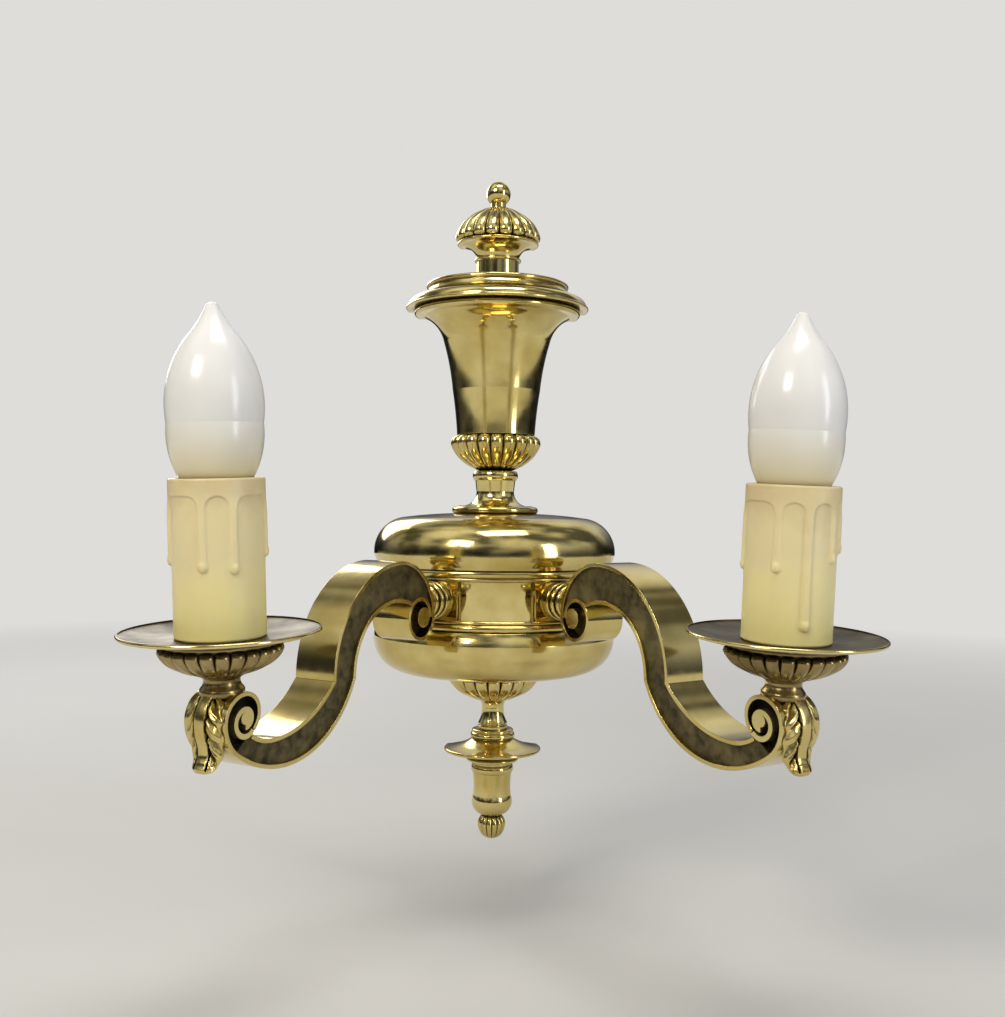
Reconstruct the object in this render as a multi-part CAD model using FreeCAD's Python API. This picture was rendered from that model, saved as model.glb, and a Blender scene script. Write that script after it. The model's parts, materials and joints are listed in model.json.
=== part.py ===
import FreeCAD, Part
import math
import os

os.makedirs("parts", exist_ok=True)

# Double arm wall sconce in polished brass, in millimetres.
# Origin: on the wall, behind the centre of the waist band. +Z up, +X right, the room is at -Y.

# ---------------------------------------------------------------- driving dimensions
AXIS_FROM_WALL = 8.0        # column axis in front of the wall
WALL = 2.0                  # wall of the large hollow castings

ROD_RADIUS = 3.0            # tie rod through the whole column
ROD_CLEARANCE = 0.15        # rod to the pieces threaded on it, each side
NUT_HEIGHT = 4.0
NUT_FLATS = 10.0

BODY_RADIUS = 62.0          # widest radius of the squashed ball
BODY_EDGE_STEP = 2.6        # dome's lower edge, inside the widest radius
RING_STEP = 3.0             # ring, inside the widest radius
RING_FOOT_STEP = 5.1
BAND_RECESS = 0.4           # waist band, inside the ring's foot
RING_SEAT_LAP = 3.0         # ring's reach over the waist band's end
DOME_HEIGHT = 26.6
DOME_BELLY_HEIGHT = 6.0     # widest radius above the dome's lower edge
DOME_SHOULDER_RADIUS = 46.0
DOME_SHOULDER_DROP = 2.0    # shoulder below the dome's top
DOME_TOP_RADIUS = 22.0
RING_HEIGHT = 5.3
RING_BULGE = 1.3
RING_FOOT_HEIGHT = 1.7
RING_FOOT_BULGE = 0.6
BAND_HEIGHT = 18.8
BODY_EDGE_RADIUS = BODY_RADIUS - BODY_EDGE_STEP
RING_RADIUS = BODY_RADIUS - RING_STEP
RING_FOOT_RADIUS = BODY_RADIUS - RING_FOOT_STEP
BAND_RADIUS = RING_FOOT_RADIUS - BAND_RECESS
RING_SEAT_RADIUS = BAND_RADIUS - RING_SEAT_LAP

STEM_FOOT_RADIUS = 22.2
STEM_FOOT_EDGE = 3.4
STEM_FOOT_BULGE = 1.0
STEM_STEP_RADIUS = 18.2     # low step on top of the foot disc
STEM_STEP_HEIGHT = 0.6
STEM_FLARE_HEIGHT = 8.0
STEM_RADIUS = 9.7
STEM_TOP_RADIUS = 10.4
STEM_SHAFT_HEIGHT = 5.8
COLLAR_RADIUS = 11.7
COLLAR_HEIGHT = 4.7
COLLAR_BULGE = 0.8

KNOP_RADIUS = 23.2
KNOP_FOOT_RADIUS = 8.5
KNOP_TOP_RADIUS = 20.4
KNOP_HEIGHT = 18.6
KNOP_RIBS = 20

URN_FOOT_RADIUS = 20.1
URN_NECK_RADIUS = 22.6
URN_FLARE_RADIUS = 27.4
URN_LIP_RADIUS = 37.5
URN_RING_RADIUS = 42.8
URN_HEIGHT = 64.3
URN_NECK_HEIGHT = 23.0
URN_FLARE_HEIGHT = 48.0
URN_RING_HEIGHT = 3.4
URN_RING_BULGE = 1.2

LID_RIM_RADIUS = 47.1
LID_RIM_EDGE = 1.6
LID_STEP_RADIUS = 35.7
LID_STEP_EDGE = 2.4
LID_STEP_BULGE = 1.0
LID_HEIGHT = 15.9
LID_TOP_HEIGHT = 2.6

SPOOL_FOOT_RADIUS = 12.0
SPOOL_FOOT_HEIGHT = 2.2
SPOOL_WAIST_RADIUS = 10.9
SPOOL_LIP_RADIUS = 20.2
SPOOL_LIP_EDGE = 1.6
SPOOL_HEIGHT = 19.3
SPOOL_STRAIGHT = 9.5
SPOOL_BEAD_RADIUS = 12.1
SPOOL_BEAD_HEIGHT = 1.3

CAP_RADIUS = 22.0
CAP_FOOT_RADIUS = 20.6
CAP_TOP_RADIUS = 4.4
CAP_HEIGHT = 18.2
CAP_RIBS = 18

BALL_RADIUS = 6.3
BALL_NECK_RADIUS = 3.9
BALL_NECK_HEIGHT = 2.4

BOWL_RADIUS = 23.2
BOWL_RIM_RADIUS = 22.0
BOWL_TIP_RADIUS = 7.8
BOWL_HEIGHT = 13.6
BOWL_RIBS = 20

NECK_LIP_RADIUS = 7.3
NECK_LIP_HEIGHT = 4.0       # flare under the bowl
NECK_WAIST_RADIUS = 5.7
NECK_FOOT_RADIUS = 7.6
NECK_FOOT_HEIGHT = 1.6
NECK_HEIGHT = 14.9
NECK_GROOVE = 0.9           # depth of the groove above the foot
NECK_GROOVE_HEIGHT = 1.4

THIN_RING_RADIUS = 9.7
THICK_RING_RADIUS = 11.5
THICK_RING_BULGE = 1.0
SAUCER_RADIUS = 25.0
SAUCER_EDGE = 1.8
SAUCER_STEP_RADIUS = 13.5
SAUCER_STEP_EDGE = 1.8
SAUCER_STEP_BULGE = 0.7
SAUCER_FOOT_RADIUS = 10.0
SAUCER_HEIGHT = 18.2
SAUCER_RING_HEIGHT = 4.9
SAUCER_SLOPE_HEIGHT = 4.6
SAUCER_STEP_DROP = 6.9      # step ring below the top of the slope's end

CUP_TOP_RADIUS = 11.0
CUP_BEAD_HEIGHT = 4.2
CUP_BEAD_BULGE = 0.9
CUP_FOOT_RADIUS = 9.8
CUP_TIP_RADIUS = 5.0
CUP_HEIGHT = 26.4
CUP_SIDE_HEIGHT = 16.0

DROP_RADIUS = 7.2
DROP_TIP_ANGLE = 76.0       # where the ribs end below the ball's middle
DROP_RIBS = 14

RIB_DEPTH = 0.075           # depth of the grooves between ribs, as a share of the local radius

ARM_ANGLE = 58.0            # plan angle between the wall and each arm
ARM_WIDTH = 20.0
BAND_THICK = 1.6            # thickness of the arm's strips
CHEEK_THICK = 1.0
CHEEK_RECESS = 1.6          # how far the cheeks lie inside the strips' edges
WEB_RECESS = 4.6            # how far the volutes' floors lie inside the strips' edges
BOSS_GAP = 14.3             # waist band to the arm's nearest strip
ROLL_TURN_RADIUS = 9.6      # centreline radii of the rolled end, from the outside in
ROLL_INNER_RADIUS = 8.6
ROLL_DROP = 6.0             # roll's centre below the waist centre
ROLL_EYE_RADIUS = 4.6
ROLL_EYE_RECESS = 0.6       # eye's face inside the strips' edges
ROLL_EYE_SINK = 0.4         # eye's lap into the strip beside it
HALF_TURN = 180.0
SHOULDER_RADIUS = 25.4      # arch strip, body side
ARCH_RADIUS = 46.4          # arch strip, outer side
CREST_DEPTH = 16.4          # between strip centrelines at the crest
KNEE_DEPTH = 13.0           # between strip centrelines at the seam
INNER_LEAD = 27.0           # the inner strip starts this many degrees before the crest
TOE_TOP_RADIUS = 48.4
TOE_TOP_TURN = 50.5
TOE_RISE_RADIUS = 20.8
TOE_RISE_TURN = 33.0
TOE_LOW_RADIUS = 46.3
TOE_LOW_TURN = 67.1
TOE_LOW_RISE = 35.0
SCROLL_RADII = (14.2, 10.2, 7.2, 8.6)
SCROLL_TURNS = (90.0 - TOE_LOW_RISE, 90.0, 90.0, 48.0)
SEAM_LEAD = 3.0             # degrees by which the toe's strips start early, to be cut at the seam
CURL_RADIUS = 5.0
CURL_START_TURN = 52.0
CURL_INNER_RADIUS = 3.3
CURL_THICK = 2.0
CURL_EYE_RADIUS = 2.3
CURL_BACK = 0.5             # start of the curl inside the end of the scroll
CURL_DROP = 0.2

BOSS_RADIUS = 9.2
BOSS_RING_RADIUS = 9.0
BOSS_STEP_RADIUS = 8.4
BOSS_NECK_RADIUS = 7.4
BOSS_FLANGE = 2.6
BOSS_EDGE = 1.0             # rounding of the flange's edge
BOSS_GROOVE = 1.2
BOSS_GROOVE_DEPTH = 1.6
BOSS_RING = 2.4
BOSS_RING_BULGE = 0.8

NIPPLE_RADIUS = 3.5
NIPPLE_BORE = 2.3
NIPPLE_RISE = 4.6           # boss nipple above the boss's own axis, clear of the roll
NIPPLE_HOLE_MARGIN = 2.0    # hole for the nipple ends this far before the roll's axis
NIPPLE_END = 1.5            # nipple's end beyond its locknut
CANDLE_HOLE_DEPTH = 8.0     # hole for the candle's nipple below the seat
CANDLE_NIPPLE_DEPTH = 2.6
LOCKNUT_THICK = 3.0
LOCKNUT_FLATS = 8.2
WASHER_DEPTH = 1.0
FLEX_RADIUS = 1.7
FLEX_START = 20.0           # lead's end in the terminal block, from the column axis
FLEX_LEAD = 1.0             # straight lead beyond the boss nipple
FLEX_KNEE_HEADING = -78.0   # degrees, through the seam
FLEX_LOW_RISE = 5.6         # lead's lowest point above the toe's lower strip
FLEX_LOW_SHIFT = 3.0
FLEX_ENTRY = 11.0           # lead turns upright this far below the seat
FLEX_END = 1.5              # lead's end below the holder's floor

LEAF_HALF_WIDTH = 9.2
LEAF_THICK = 1.8
LEAF_RIB_HALF_WIDTH = 2.5
LEAF_RIB_PROUD = 1.4
LEAF_TOP_ANGLE = 58.0       # start of the leaf above the scroll's level centre line
LEAF_TUCK = 24.0            # degrees that it follows the scroll below that line
LEAF_TAIL = 12.0            # radius of the bend back to upright
LEAF_FLARE_RADIUS = 7.0
LEAF_FLARE_TURN = 62.0
LEAF_TIP_HALF_WIDTH = 5.2
LEAF_TOP_HALF_WIDTH = 6.0

CANDLE_OFFSET = 2.0         # candle axis outside the scroll's top
CANDLE_LEAN = 3.0           # degrees that each candle leans outward
FOOT_RADIUS = 8.4
FOOT_EDGE = 0.8
FOOT_SKIRT = 2.0            # foot below the seat, shaped to the scroll
FOOT_WAIST_RADIUS = 6.8
FOOT_LIP = 1.0
FOOT_LIP_HEIGHT = 1.4
FOOT_HEIGHT = 5.9
DISH_RADIUS = 23.1
DISH_FOOT_RADIUS = 9.4
DISH_RIM_RADIUS = 21.6
DISH_RIM_FLARE = 0.6
DISH_RIB_HEIGHT = 10.8
DISH_RIM_HEIGHT = 2.0
DISH_RIBS = 24
PAN_RADIUS = 38.2
PAN_THICK = 1.1
PAN_FLOOR_RADIUS = 20.0
PAN_RISE = 2.4
PAN_LIP_HEIGHT = 1.6
PAN_RIM_RADIUS = 0.9
SLEEVE_RADIUS = 17.5
SLEEVE_BORE = 14.4
SLEEVE_LENGTH = 58.6
SLEEVE_GAP = 0.1            # under the sleeve
DRIP_RADIUS = 1.9
DRIP_BEAD_RADIUS = 2.3
DRIP_PROUD = 0.7            # how far a drip's axis lies inside the sleeve's surface
DRIP_LENGTHS = (27.0, 34.0, 52.0, 29.0, 24.0, 31.0, 38.0, 26.0)

HOLDER_RADIUS = 13.2
HOLDER_HEIGHT = 40.0
HOLDER_FLOOR = 8.0
HOLDER_SEAT = 2.0           # holder's floor above its nipple
HOLDER_WEB = 1.0            # closed part of that floor
HOLDER_BORE = 9.6
INSERT_RADIUS = 9.2
INSERT_FLOOR = 1.0
THREAD_RADIUS = 6.95        # bulb cap, as a plain cylinder
THREAD_CLEARANCE = 0.08
INSERT_HEIGHT = 22.0
CONTACT_RADIUS = 3.0
CONTACT_HEIGHT = 4.0
CONTACT_PLAY = 0.1

BULB_RADIUS = 17.5
BULB_ABOVE_SLEEVE = 64.0
BULB_MOUTH_RADIUS = 13.5    # glass where it leaves the sleeve
BULB_BELLY_HEIGHT = 20.0    # widest glass above the sleeve
BULB_NECK_RADIUS = 6.2
BULB_NECK_DEPTH = 16.0      # glass neck below the sleeve's top
BULB_NECK_HEIGHT = 4.0
BULB_SHOULDER_RADIUS = 9.2
BULB_SHOULDER_DROP = 12.0   # shoulder below the tip
GLASS_WALL = 1.0
BULB_TIP_RADIUS = 2.2
BULB_TIP_HEIGHT = 0.9
BULB_CAP_HEIGHT = 22.0
BULB_CAP_LAP = 3.0          # cap's reach over the glass
TIP_RADIUS = 2.4
TIP_HEIGHT = 3.0
TIP_GAP = 0.05
TIP_PLAY = 0.02             # between the tip and the turning cap

PLATE_WIDTH = 92.0
PLATE_HEIGHT = 46.0
PLATE_THICK = 2.0
PLATE_SCREW_SPACING = 60.0
PLATE_SCREW_RADIUS = 2.25
CABLE_RADIUS = 5.0
CABLE_SIDE = 18.0           # cable hole to the left of the plate's middle
CABLE_DROP = 12.0
EAR_DEPTH = 14.0
EAR_HEIGHT = 14.0
SIDE_SCREW_RADIUS = 2.0
SIDE_SCREW_HEAD_RADIUS = 3.4
SIDE_SCREW_HEAD = 2.0
SIDE_SCREW_TIP = 2.0        # screw's end beyond the plate's ear
SLOT_WIDTH = 0.8
SLOT_DEPTH = 0.5
SIDE_SCREW_FROM_WALL = 8.0
BLOCK_WIDTH = 30.0
BLOCK_HEIGHT = 12.0
BLOCK_DEPTH = 14.0
BLOCK_GAP = 3.0             # tie rod to the terminal block
BLOCK_WAYS = 3
BLOCK_SCREW_RADIUS = 1.5
BLOCK_SCREW_DEPTH = 4.0
BLOCK_SCREW_PROUD = 0.8
BLOCK_SCREW_INSET = 4.0

UP = FreeCAD.Vector(0, 0, 1)
CENTRE = FreeCAD.Vector(0, 0, 0)
COLUMN = FreeCAD.Vector(0, -AXIS_FROM_WALL, 0)
SIDES = {"left": ARM_ANGLE - HALF_TURN, "right": -ARM_ANGLE}


# ---------------------------------------------------------------- helpers
def point(r, z):
    return FreeCAD.Vector(r, 0, z)


class Outline:
    """A closed outline in the plane of radius and height, drawn by lines and arcs."""

    def __init__(self, r, z):
        self.start = point(r, z)
        self.at = self.start
        self.edges = []

    def line(self, r, z):
        end = point(r, z)
        self.edges.append(Part.LineSegment(self.at, end).toShape())
        self.at = end
        return self

    def bow(self, r, z, share):
        """An arc to (r, z) that stands out to the right of the way drawn, by a share of its chord."""
        end = point(r, z)
        along = end - self.at
        middle = (self.at + end) * 0.5 + FreeCAD.Vector(along.z, 0, -along.x) * share
        self.edges.append(Part.Arc(self.at, middle, end).toShape())
        self.at = end
        return self

    def bead(self, z, bulge):
        """A round edge straight up to height z that stands out by bulge."""
        return self.bow(self.at.x, z, bulge / (z - self.at.z))

    def crown(self, z):
        """A round top that meets the axis square at height z."""
        chord = math.hypot(self.at.x, z - self.at.z)
        radius = chord ** 2 / (2 * (z - self.at.z))
        return self.bow(0, z, (radius - math.sqrt(radius ** 2 - chord ** 2 / 4)) / chord)

    def face(self):
        if (self.at - self.start).Length > 1e-6:
            self.line(self.start.x, self.start.z)
        return Part.Face(Part.Wire(self.edges))


def turned(outline):
    return outline.face().revolve(CENTRE, UP, 360)


def bar(radius, low, high):
    return Part.makeCylinder(radius, high - low, FreeCAD.Vector(0, 0, low), UP)


def lobed_wire(z, radius, ribs):
    """A ring of arcs, one to a rib, meeting in grooves."""
    groove = radius * (1.0 - RIB_DEPTH)
    step = 2 * math.pi / ribs
    arcs = []
    for rib in range(ribs):
        corners = []
        for turn, reach in ((-0.5, groove), (0.0, radius), (0.5, groove)):
            angle = (rib + turn) * step
            corners.append(FreeCAD.Vector(reach * math.cos(angle), reach * math.sin(angle), z))
        arcs.append(Part.Arc(*corners).toShape())
    return Part.Wire(arcs)


def gadroon(levels, ribs):
    """A ribbed solid through (height, radius) levels."""
    return Part.makeLoft([lobed_wire(z, radius, ribs) for z, radius in levels], True, True)


def hexagon(flats, low, high):
    corner = flats / 2 / math.cos(math.pi / 6)
    points = []
    for k in range(7):
        angle = k * math.pi / 3
        points.append(FreeCAD.Vector(corner * math.cos(angle), corner * math.sin(angle), low))
    return Part.Face(Part.makePolygon(points)).extrude(UP * (high - low))


def on_column(shape, bored=True):
    """Bore a turned piece for the tie rod, set it on the column axis and cut it at the wall."""
    if bored:
        box = shape.BoundBox
        shape = shape.cut(bar(ROD_RADIUS + ROD_CLEARANCE, box.ZMin - 1, box.ZMax + 1))
    shape = shape.translated(COLUMN)
    box = shape.BoundBox
    if box.YMax > 0:
        behind = Part.makeBox(2 * box.XLength, box.YLength, box.ZLength + 2,
                              FreeCAD.Vector(-box.XLength, 0, box.ZMin - 1))
        shape = shape.cut(behind)
    return shape


def write(name, shape):
    shape.exportStep("parts/" + name + ".step")


# ---------------------------------------------------------------- heights of the column
BAND_TOP = BAND_HEIGHT / 2
DOME_BASE = BAND_TOP + RING_HEIGHT
DOME_TOP = DOME_BASE + DOME_HEIGHT
STEM_HEIGHT = STEM_FOOT_EDGE + STEM_FLARE_HEIGHT + STEM_SHAFT_HEIGHT + COLLAR_HEIGHT
KNOP_BASE = DOME_TOP + STEM_HEIGHT
URN_BASE = KNOP_BASE + KNOP_HEIGHT
LID_BASE = URN_BASE + URN_HEIGHT
SPOOL_BASE = LID_BASE + LID_HEIGHT
CAP_BASE = SPOOL_BASE + SPOOL_HEIGHT
BALL_BASE = CAP_BASE + CAP_HEIGHT
BALL_CENTRE = BALL_BASE + BALL_NECK_HEIGHT + math.sqrt(BALL_RADIUS ** 2 - BALL_NECK_RADIUS ** 2)
BOWL_TOP = -DOME_TOP
NECK_TOP = BOWL_TOP - BOWL_HEIGHT
SAUCER_TOP = NECK_TOP - NECK_HEIGHT
CUP_TOP = SAUCER_TOP - SAUCER_HEIGHT
DROP_TOP = CUP_TOP - CUP_HEIGHT
DROP_CENTRE = DROP_TOP - math.sqrt(DROP_RADIUS ** 2 - CUP_TIP_RADIUS ** 2)


# ---------------------------------------------------------------- column, from the waist up
def dome_outline(inset):
    """Half section of a dome above its ring; inset draws the hollow inside it."""
    top = DOME_HEIGHT - inset
    outline = Outline(0, 0)
    outline.line(BODY_EDGE_RADIUS - inset, 0)
    outline.bow(BODY_RADIUS - inset, DOME_BELLY_HEIGHT, 0.061)
    outline.bow(DOME_SHOULDER_RADIUS - inset, top - DOME_SHOULDER_DROP, 0.204)
    outline.bow(DOME_TOP_RADIUS - inset, top, 0.0125)
    outline.line(0, top)
    return outline


def ring():
    """The dome's ring: a broad bead over a thin one."""
    outline = Outline(RING_SEAT_RADIUS, 0)
    outline.line(RING_FOOT_RADIUS, 0)
    outline.bead(RING_FOOT_HEIGHT, RING_FOOT_BULGE)
    outline.line(RING_RADIUS - RING_BULGE, RING_FOOT_HEIGHT)
    outline.bead(RING_HEIGHT, RING_BULGE)
    outline.line(RING_SEAT_RADIUS, RING_HEIGHT)
    return turned(outline)


def dome():
    shell = turned(dome_outline(0)).cut(turned(dome_outline(WALL)))
    return shell.translated(UP * RING_HEIGHT).fuse(ring()).removeSplitter()


def waist_band():
    return bar(BAND_RADIUS, -BAND_TOP, BAND_TOP).cut(bar(BAND_RADIUS - WALL, -BAND_TOP, BAND_TOP))


def stem():
    """Foot disc, flaring spool and collar in one turning."""
    flare = STEM_FOOT_EDGE + STEM_FLARE_HEIGHT
    shaft = flare + STEM_SHAFT_HEIGHT
    outline = Outline(0, 0)
    outline.line(STEM_FOOT_RADIUS - STEM_FOOT_BULGE, 0)
    outline.bead(STEM_FOOT_EDGE, STEM_FOOT_BULGE)
    outline.line(STEM_STEP_RADIUS, STEM_FOOT_EDGE + STEM_STEP_HEIGHT)
    outline.bow(STEM_RADIUS, flare, -0.231)
    outline.line(STEM_TOP_RADIUS, shaft)
    outline.line(COLLAR_RADIUS - COLLAR_BULGE, shaft)
    outline.bead(STEM_HEIGHT, COLLAR_BULGE)
    outline.line(0, STEM_HEIGHT)
    return turned(outline)


def knop():
    levels = (
        (0.0, KNOP_FOOT_RADIUS),
        (KNOP_HEIGHT * 0.24, KNOP_RADIUS * 0.66),
        (KNOP_HEIGHT * 0.50, KNOP_RADIUS * 0.89),
        (KNOP_HEIGHT * 0.74, KNOP_RADIUS),
        (KNOP_HEIGHT * 0.90, KNOP_RADIUS * 0.98),
        (KNOP_HEIGHT, KNOP_TOP_RADIUS),
    )
    return gadroon(levels, KNOP_RIBS)


def urn_outline(inset):
    outline = Outline(0, inset)
    outline.line(URN_FOOT_RADIUS - inset, inset)
    outline.bow(URN_NECK_RADIUS - inset, URN_NECK_HEIGHT, -0.013)
    outline.bow(URN_FLARE_RADIUS - inset, URN_FLARE_HEIGHT, -0.0236)
    outline.bow(URN_LIP_RADIUS - inset, URN_HEIGHT - URN_RING_HEIGHT, -0.116)
    return outline


def urn_body():
    outer = urn_outline(0)
    outer.line(URN_RING_RADIUS - URN_RING_BULGE, URN_HEIGHT - URN_RING_HEIGHT)
    outer.bead(URN_HEIGHT, URN_RING_BULGE)
    outer.line(0, URN_HEIGHT)
    inner = urn_outline(WALL)
    inner.line(URN_LIP_RADIUS - WALL, URN_HEIGHT)
    inner.line(0, URN_HEIGHT)
    return turned(outer).cut(turned(inner))


def urn_lid():
    step = LID_HEIGHT - LID_TOP_HEIGHT - LID_STEP_EDGE
    outline = Outline(0, 0)
    outline.line(LID_RIM_RADIUS - LID_RIM_EDGE / 2, 0)
    outline.bead(LID_RIM_EDGE, LID_RIM_EDGE / 2)
    outline.bow((LID_RIM_RADIUS + LID_STEP_RADIUS) / 2, step * 0.55, 0.182)
    outline.bow(LID_STEP_RADIUS, step, -0.12)
    outline.bead(step + LID_STEP_EDGE, LID_STEP_BULGE)
    outline.line(SPOOL_FOOT_RADIUS, LID_HEIGHT)
    outline.line(0, LID_HEIGHT)
    hollow = bar(LID_STEP_RADIUS - 2 * WALL, -1, step)
    return turned(outline).cut(hollow)


def cap_spool():
    straight = SPOOL_STRAIGHT
    outline = Outline(0, 0)
    outline.line(SPOOL_FOOT_RADIUS, 0)
    outline.bow(SPOOL_WAIST_RADIUS, SPOOL_FOOT_HEIGHT, -0.163)
    outline.line(SPOOL_WAIST_RADIUS, straight)
    outline.bead(straight + SPOOL_BEAD_HEIGHT, SPOOL_BEAD_RADIUS - SPOOL_WAIST_RADIUS)
    outline.bow(SPOOL_LIP_RADIUS, SPOOL_HEIGHT - SPOOL_LIP_EDGE, -0.207)
    outline.bead(SPOOL_HEIGHT, SPOOL_LIP_EDGE / 2)
    outline.line(0, SPOOL_HEIGHT)
    return turned(outline)


def cap():
    levels = (
        (0.0, CAP_FOOT_RADIUS),
        (CAP_HEIGHT * 0.10, CAP_RADIUS),
        (CAP_HEIGHT * 0.28, CAP_RADIUS * 0.97),
        (CAP_HEIGHT * 0.50, CAP_RADIUS * 0.86),
        (CAP_HEIGHT * 0.72, CAP_RADIUS * 0.66),
        (CAP_HEIGHT * 0.90, CAP_RADIUS * 0.40),
        (CAP_HEIGHT, CAP_TOP_RADIUS),
    )
    return gadroon(levels, CAP_RIBS)


def top_ball():
    centre = BALL_CENTRE - BALL_BASE
    ball = Part.makeSphere(BALL_RADIUS, FreeCAD.Vector(0, 0, centre))
    neck = bar(BALL_NECK_RADIUS, 0, centre)
    return ball.fuse(neck).removeSplitter().cut(bar(ROD_RADIUS, -1, centre))


# ---------------------------------------------------------------- column, from the waist down
def bowl():
    levels = (
        (0.0, BOWL_RIM_RADIUS),
        (-BOWL_HEIGHT * 0.12, BOWL_RADIUS),
        (-BOWL_HEIGHT * 0.36, BOWL_RADIUS * 0.95),
        (-BOWL_HEIGHT * 0.64, BOWL_RADIUS * 0.76),
        (-BOWL_HEIGHT * 0.85, BOWL_RADIUS * 0.53),
        (-BOWL_HEIGHT, BOWL_TIP_RADIUS),
    )
    return gadroon(levels, BOWL_RIBS)


def drop_neck():
    groove = NECK_HEIGHT - NECK_FOOT_HEIGHT
    outline = Outline(0, 0)
    outline.line(0, -NECK_HEIGHT)
    outline.line(NECK_FOOT_RADIUS, -NECK_HEIGHT)
    outline.line(NECK_FOOT_RADIUS, -groove)
    outline.bead(-groove + NECK_GROOVE_HEIGHT, -NECK_GROOVE)
    outline.bow(NECK_WAIST_RADIUS, -NECK_LIP_HEIGHT, -0.062)
    outline.bow(NECK_LIP_RADIUS, 0, -0.139)
    return turned(outline)


def saucer():
    """Thin ring, thick ring, wide thin saucer and a stepped ring under it."""
    thin = SAUCER_RING_HEIGHT * 0.3
    edge = SAUCER_RING_HEIGHT + SAUCER_SLOPE_HEIGHT
    under = edge + SAUCER_EDGE
    step = edge + SAUCER_STEP_DROP
    outline = Outline(0, 0)
    outline.line(0, -SAUCER_HEIGHT)
    outline.line(SAUCER_FOOT_RADIUS, -SAUCER_HEIGHT)
    outline.line(SAUCER_FOOT_RADIUS, -step)
    outline.line(SAUCER_STEP_RADIUS - SAUCER_STEP_BULGE, -step)
    outline.bead(-step + SAUCER_STEP_EDGE, SAUCER_STEP_BULGE)
    outline.bow(SAUCER_RADIUS - SAUCER_EDGE / 2, -under, -0.068)
    outline.bead(-edge, SAUCER_EDGE / 2)
    outline.bow(THICK_RING_RADIUS - THICK_RING_BULGE, -SAUCER_RING_HEIGHT, -0.063)
    outline.bead(-thin, THICK_RING_BULGE)
    outline.bow(THIN_RING_RADIUS, 0, 0.359)
    return turned(outline)


def drop_cup():
    outline = Outline(0, 0)
    outline.line(0, -CUP_HEIGHT)
    outline.line(CUP_TIP_RADIUS, -CUP_HEIGHT)
    outline.bow(CUP_FOOT_RADIUS, -CUP_SIDE_HEIGHT, 0.227)
    outline.bow(CUP_TOP_RADIUS - CUP_BEAD_BULGE, -CUP_BEAD_HEIGHT, -0.034)
    outline.bead(0, CUP_BEAD_BULGE)
    return turned(outline)


def drop_ball():
    top = DROP_TOP - DROP_CENTRE
    levels = []
    slices = 7
    for k in range(slices + 1):
        share = k / slices
        angle = math.asin(top / DROP_RADIUS) * (1 - share) - math.radians(DROP_TIP_ANGLE) * share
        levels.append((DROP_RADIUS * math.sin(angle), DROP_RADIUS * math.cos(angle)))
    ball = gadroon(levels, DROP_RIBS)
    return ball.cut(bar(ROD_RADIUS, -DROP_RADIUS * 0.4, DROP_RADIUS + 1)).translated(UP * DROP_CENTRE)


def tie_rod():
    return bar(ROD_RADIUS, DROP_CENTRE - DROP_RADIUS * 0.4, BALL_CENTRE).translated(COLUMN)


def tie_nuts():
    """Nuts that hold the two domes against the rod from inside."""
    nuts = []
    for low in (DOME_TOP - WALL - NUT_HEIGHT, -DOME_TOP + WALL):
        nut = hexagon(NUT_FLATS, low, low + NUT_HEIGHT).cut(bar(ROD_RADIUS, low, low + NUT_HEIGHT))
        nuts.append(nut.translated(COLUMN))
    return Part.makeCompound(nuts)


# ---------------------------------------------------------------- strips bent in the arm's own plane
class Bend:
    """A line of tangent arcs in the arm's plane. Positive turns go anticlockwise."""

    def __init__(self, r, z, heading):
        self.r = r
        self.z = z
        self.heading = heading
        self.arcs = []

    def arc(self, radius, turn):
        side = math.copysign(1.0, turn)
        normal = math.radians(self.heading + 90.0 * side)
        centre = (self.r + radius * math.cos(normal), self.z + radius * math.sin(normal))
        start = self.heading - 90.0 * side
        self.arcs.append((centre, radius, start, turn))
        end = math.radians(start + turn)
        self.r = centre[0] + radius * math.cos(end)
        self.z = centre[1] + radius * math.sin(end)
        self.heading += turn
        return self

    def lead_in(self, degrees):
        """Start the first arc earlier by some degrees."""
        centre, radius, start, turn = self.arcs[0]
        extra = math.copysign(degrees, turn)
        self.arcs[0] = (centre, radius, start - extra, turn + extra)
        return self

    def edges(self, offset):
        """The line moved by offset to its left."""
        made = []
        for centre, radius, start, turn in self.arcs:
            reach = radius - offset * math.copysign(1.0, turn)
            corners = []
            for share in (0.0, 0.5, 1.0):
                angle = math.radians(start + turn * share)
                r = centre[0] + reach * math.cos(angle)
                corners.append(point(r, centre[1] + reach * math.sin(angle)))
            made.append(Part.Arc(*corners).toShape())
        return made

    def ribbon(self, thick):
        """Face of a strip along the line."""
        left = self.edges(thick / 2)
        right = self.edges(-thick / 2)
        cap = Part.makeLine(left[-1].lastVertex(True).Point, right[-1].lastVertex(True).Point)
        foot = Part.makeLine(right[0].firstVertex(True).Point, left[0].firstVertex(True).Point)
        return Part.Face(Part.Wire(Part.__sortEdges__(left + [cap] + right + [foot])))


def across(face, low, high):
    """A face of the arm's plane made solid from one distance across the arm to another."""
    return face.translated(FreeCAD.Vector(0, low, 0)).extrude(FreeCAD.Vector(0, high - low, 0))


def strip(bend, thick=BAND_THICK):
    return across(bend.ribbon(thick), -ARM_WIDTH / 2, ARM_WIDTH / 2)


def both_sides(face, recess, thick):
    """The same plate near the front and the back edge of the strips."""
    far = ARM_WIDTH / 2 - recess
    return across(face, far - thick, far).fuse(across(face, -far, thick - far))


def round_bar(r, z, radius, low=-ARM_WIDTH / 2, high=ARM_WIDTH / 2):
    return Part.makeCylinder(radius, high - low, FreeCAD.Vector(r, low, z), FreeCAD.Vector(0, 1, 0))


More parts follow.
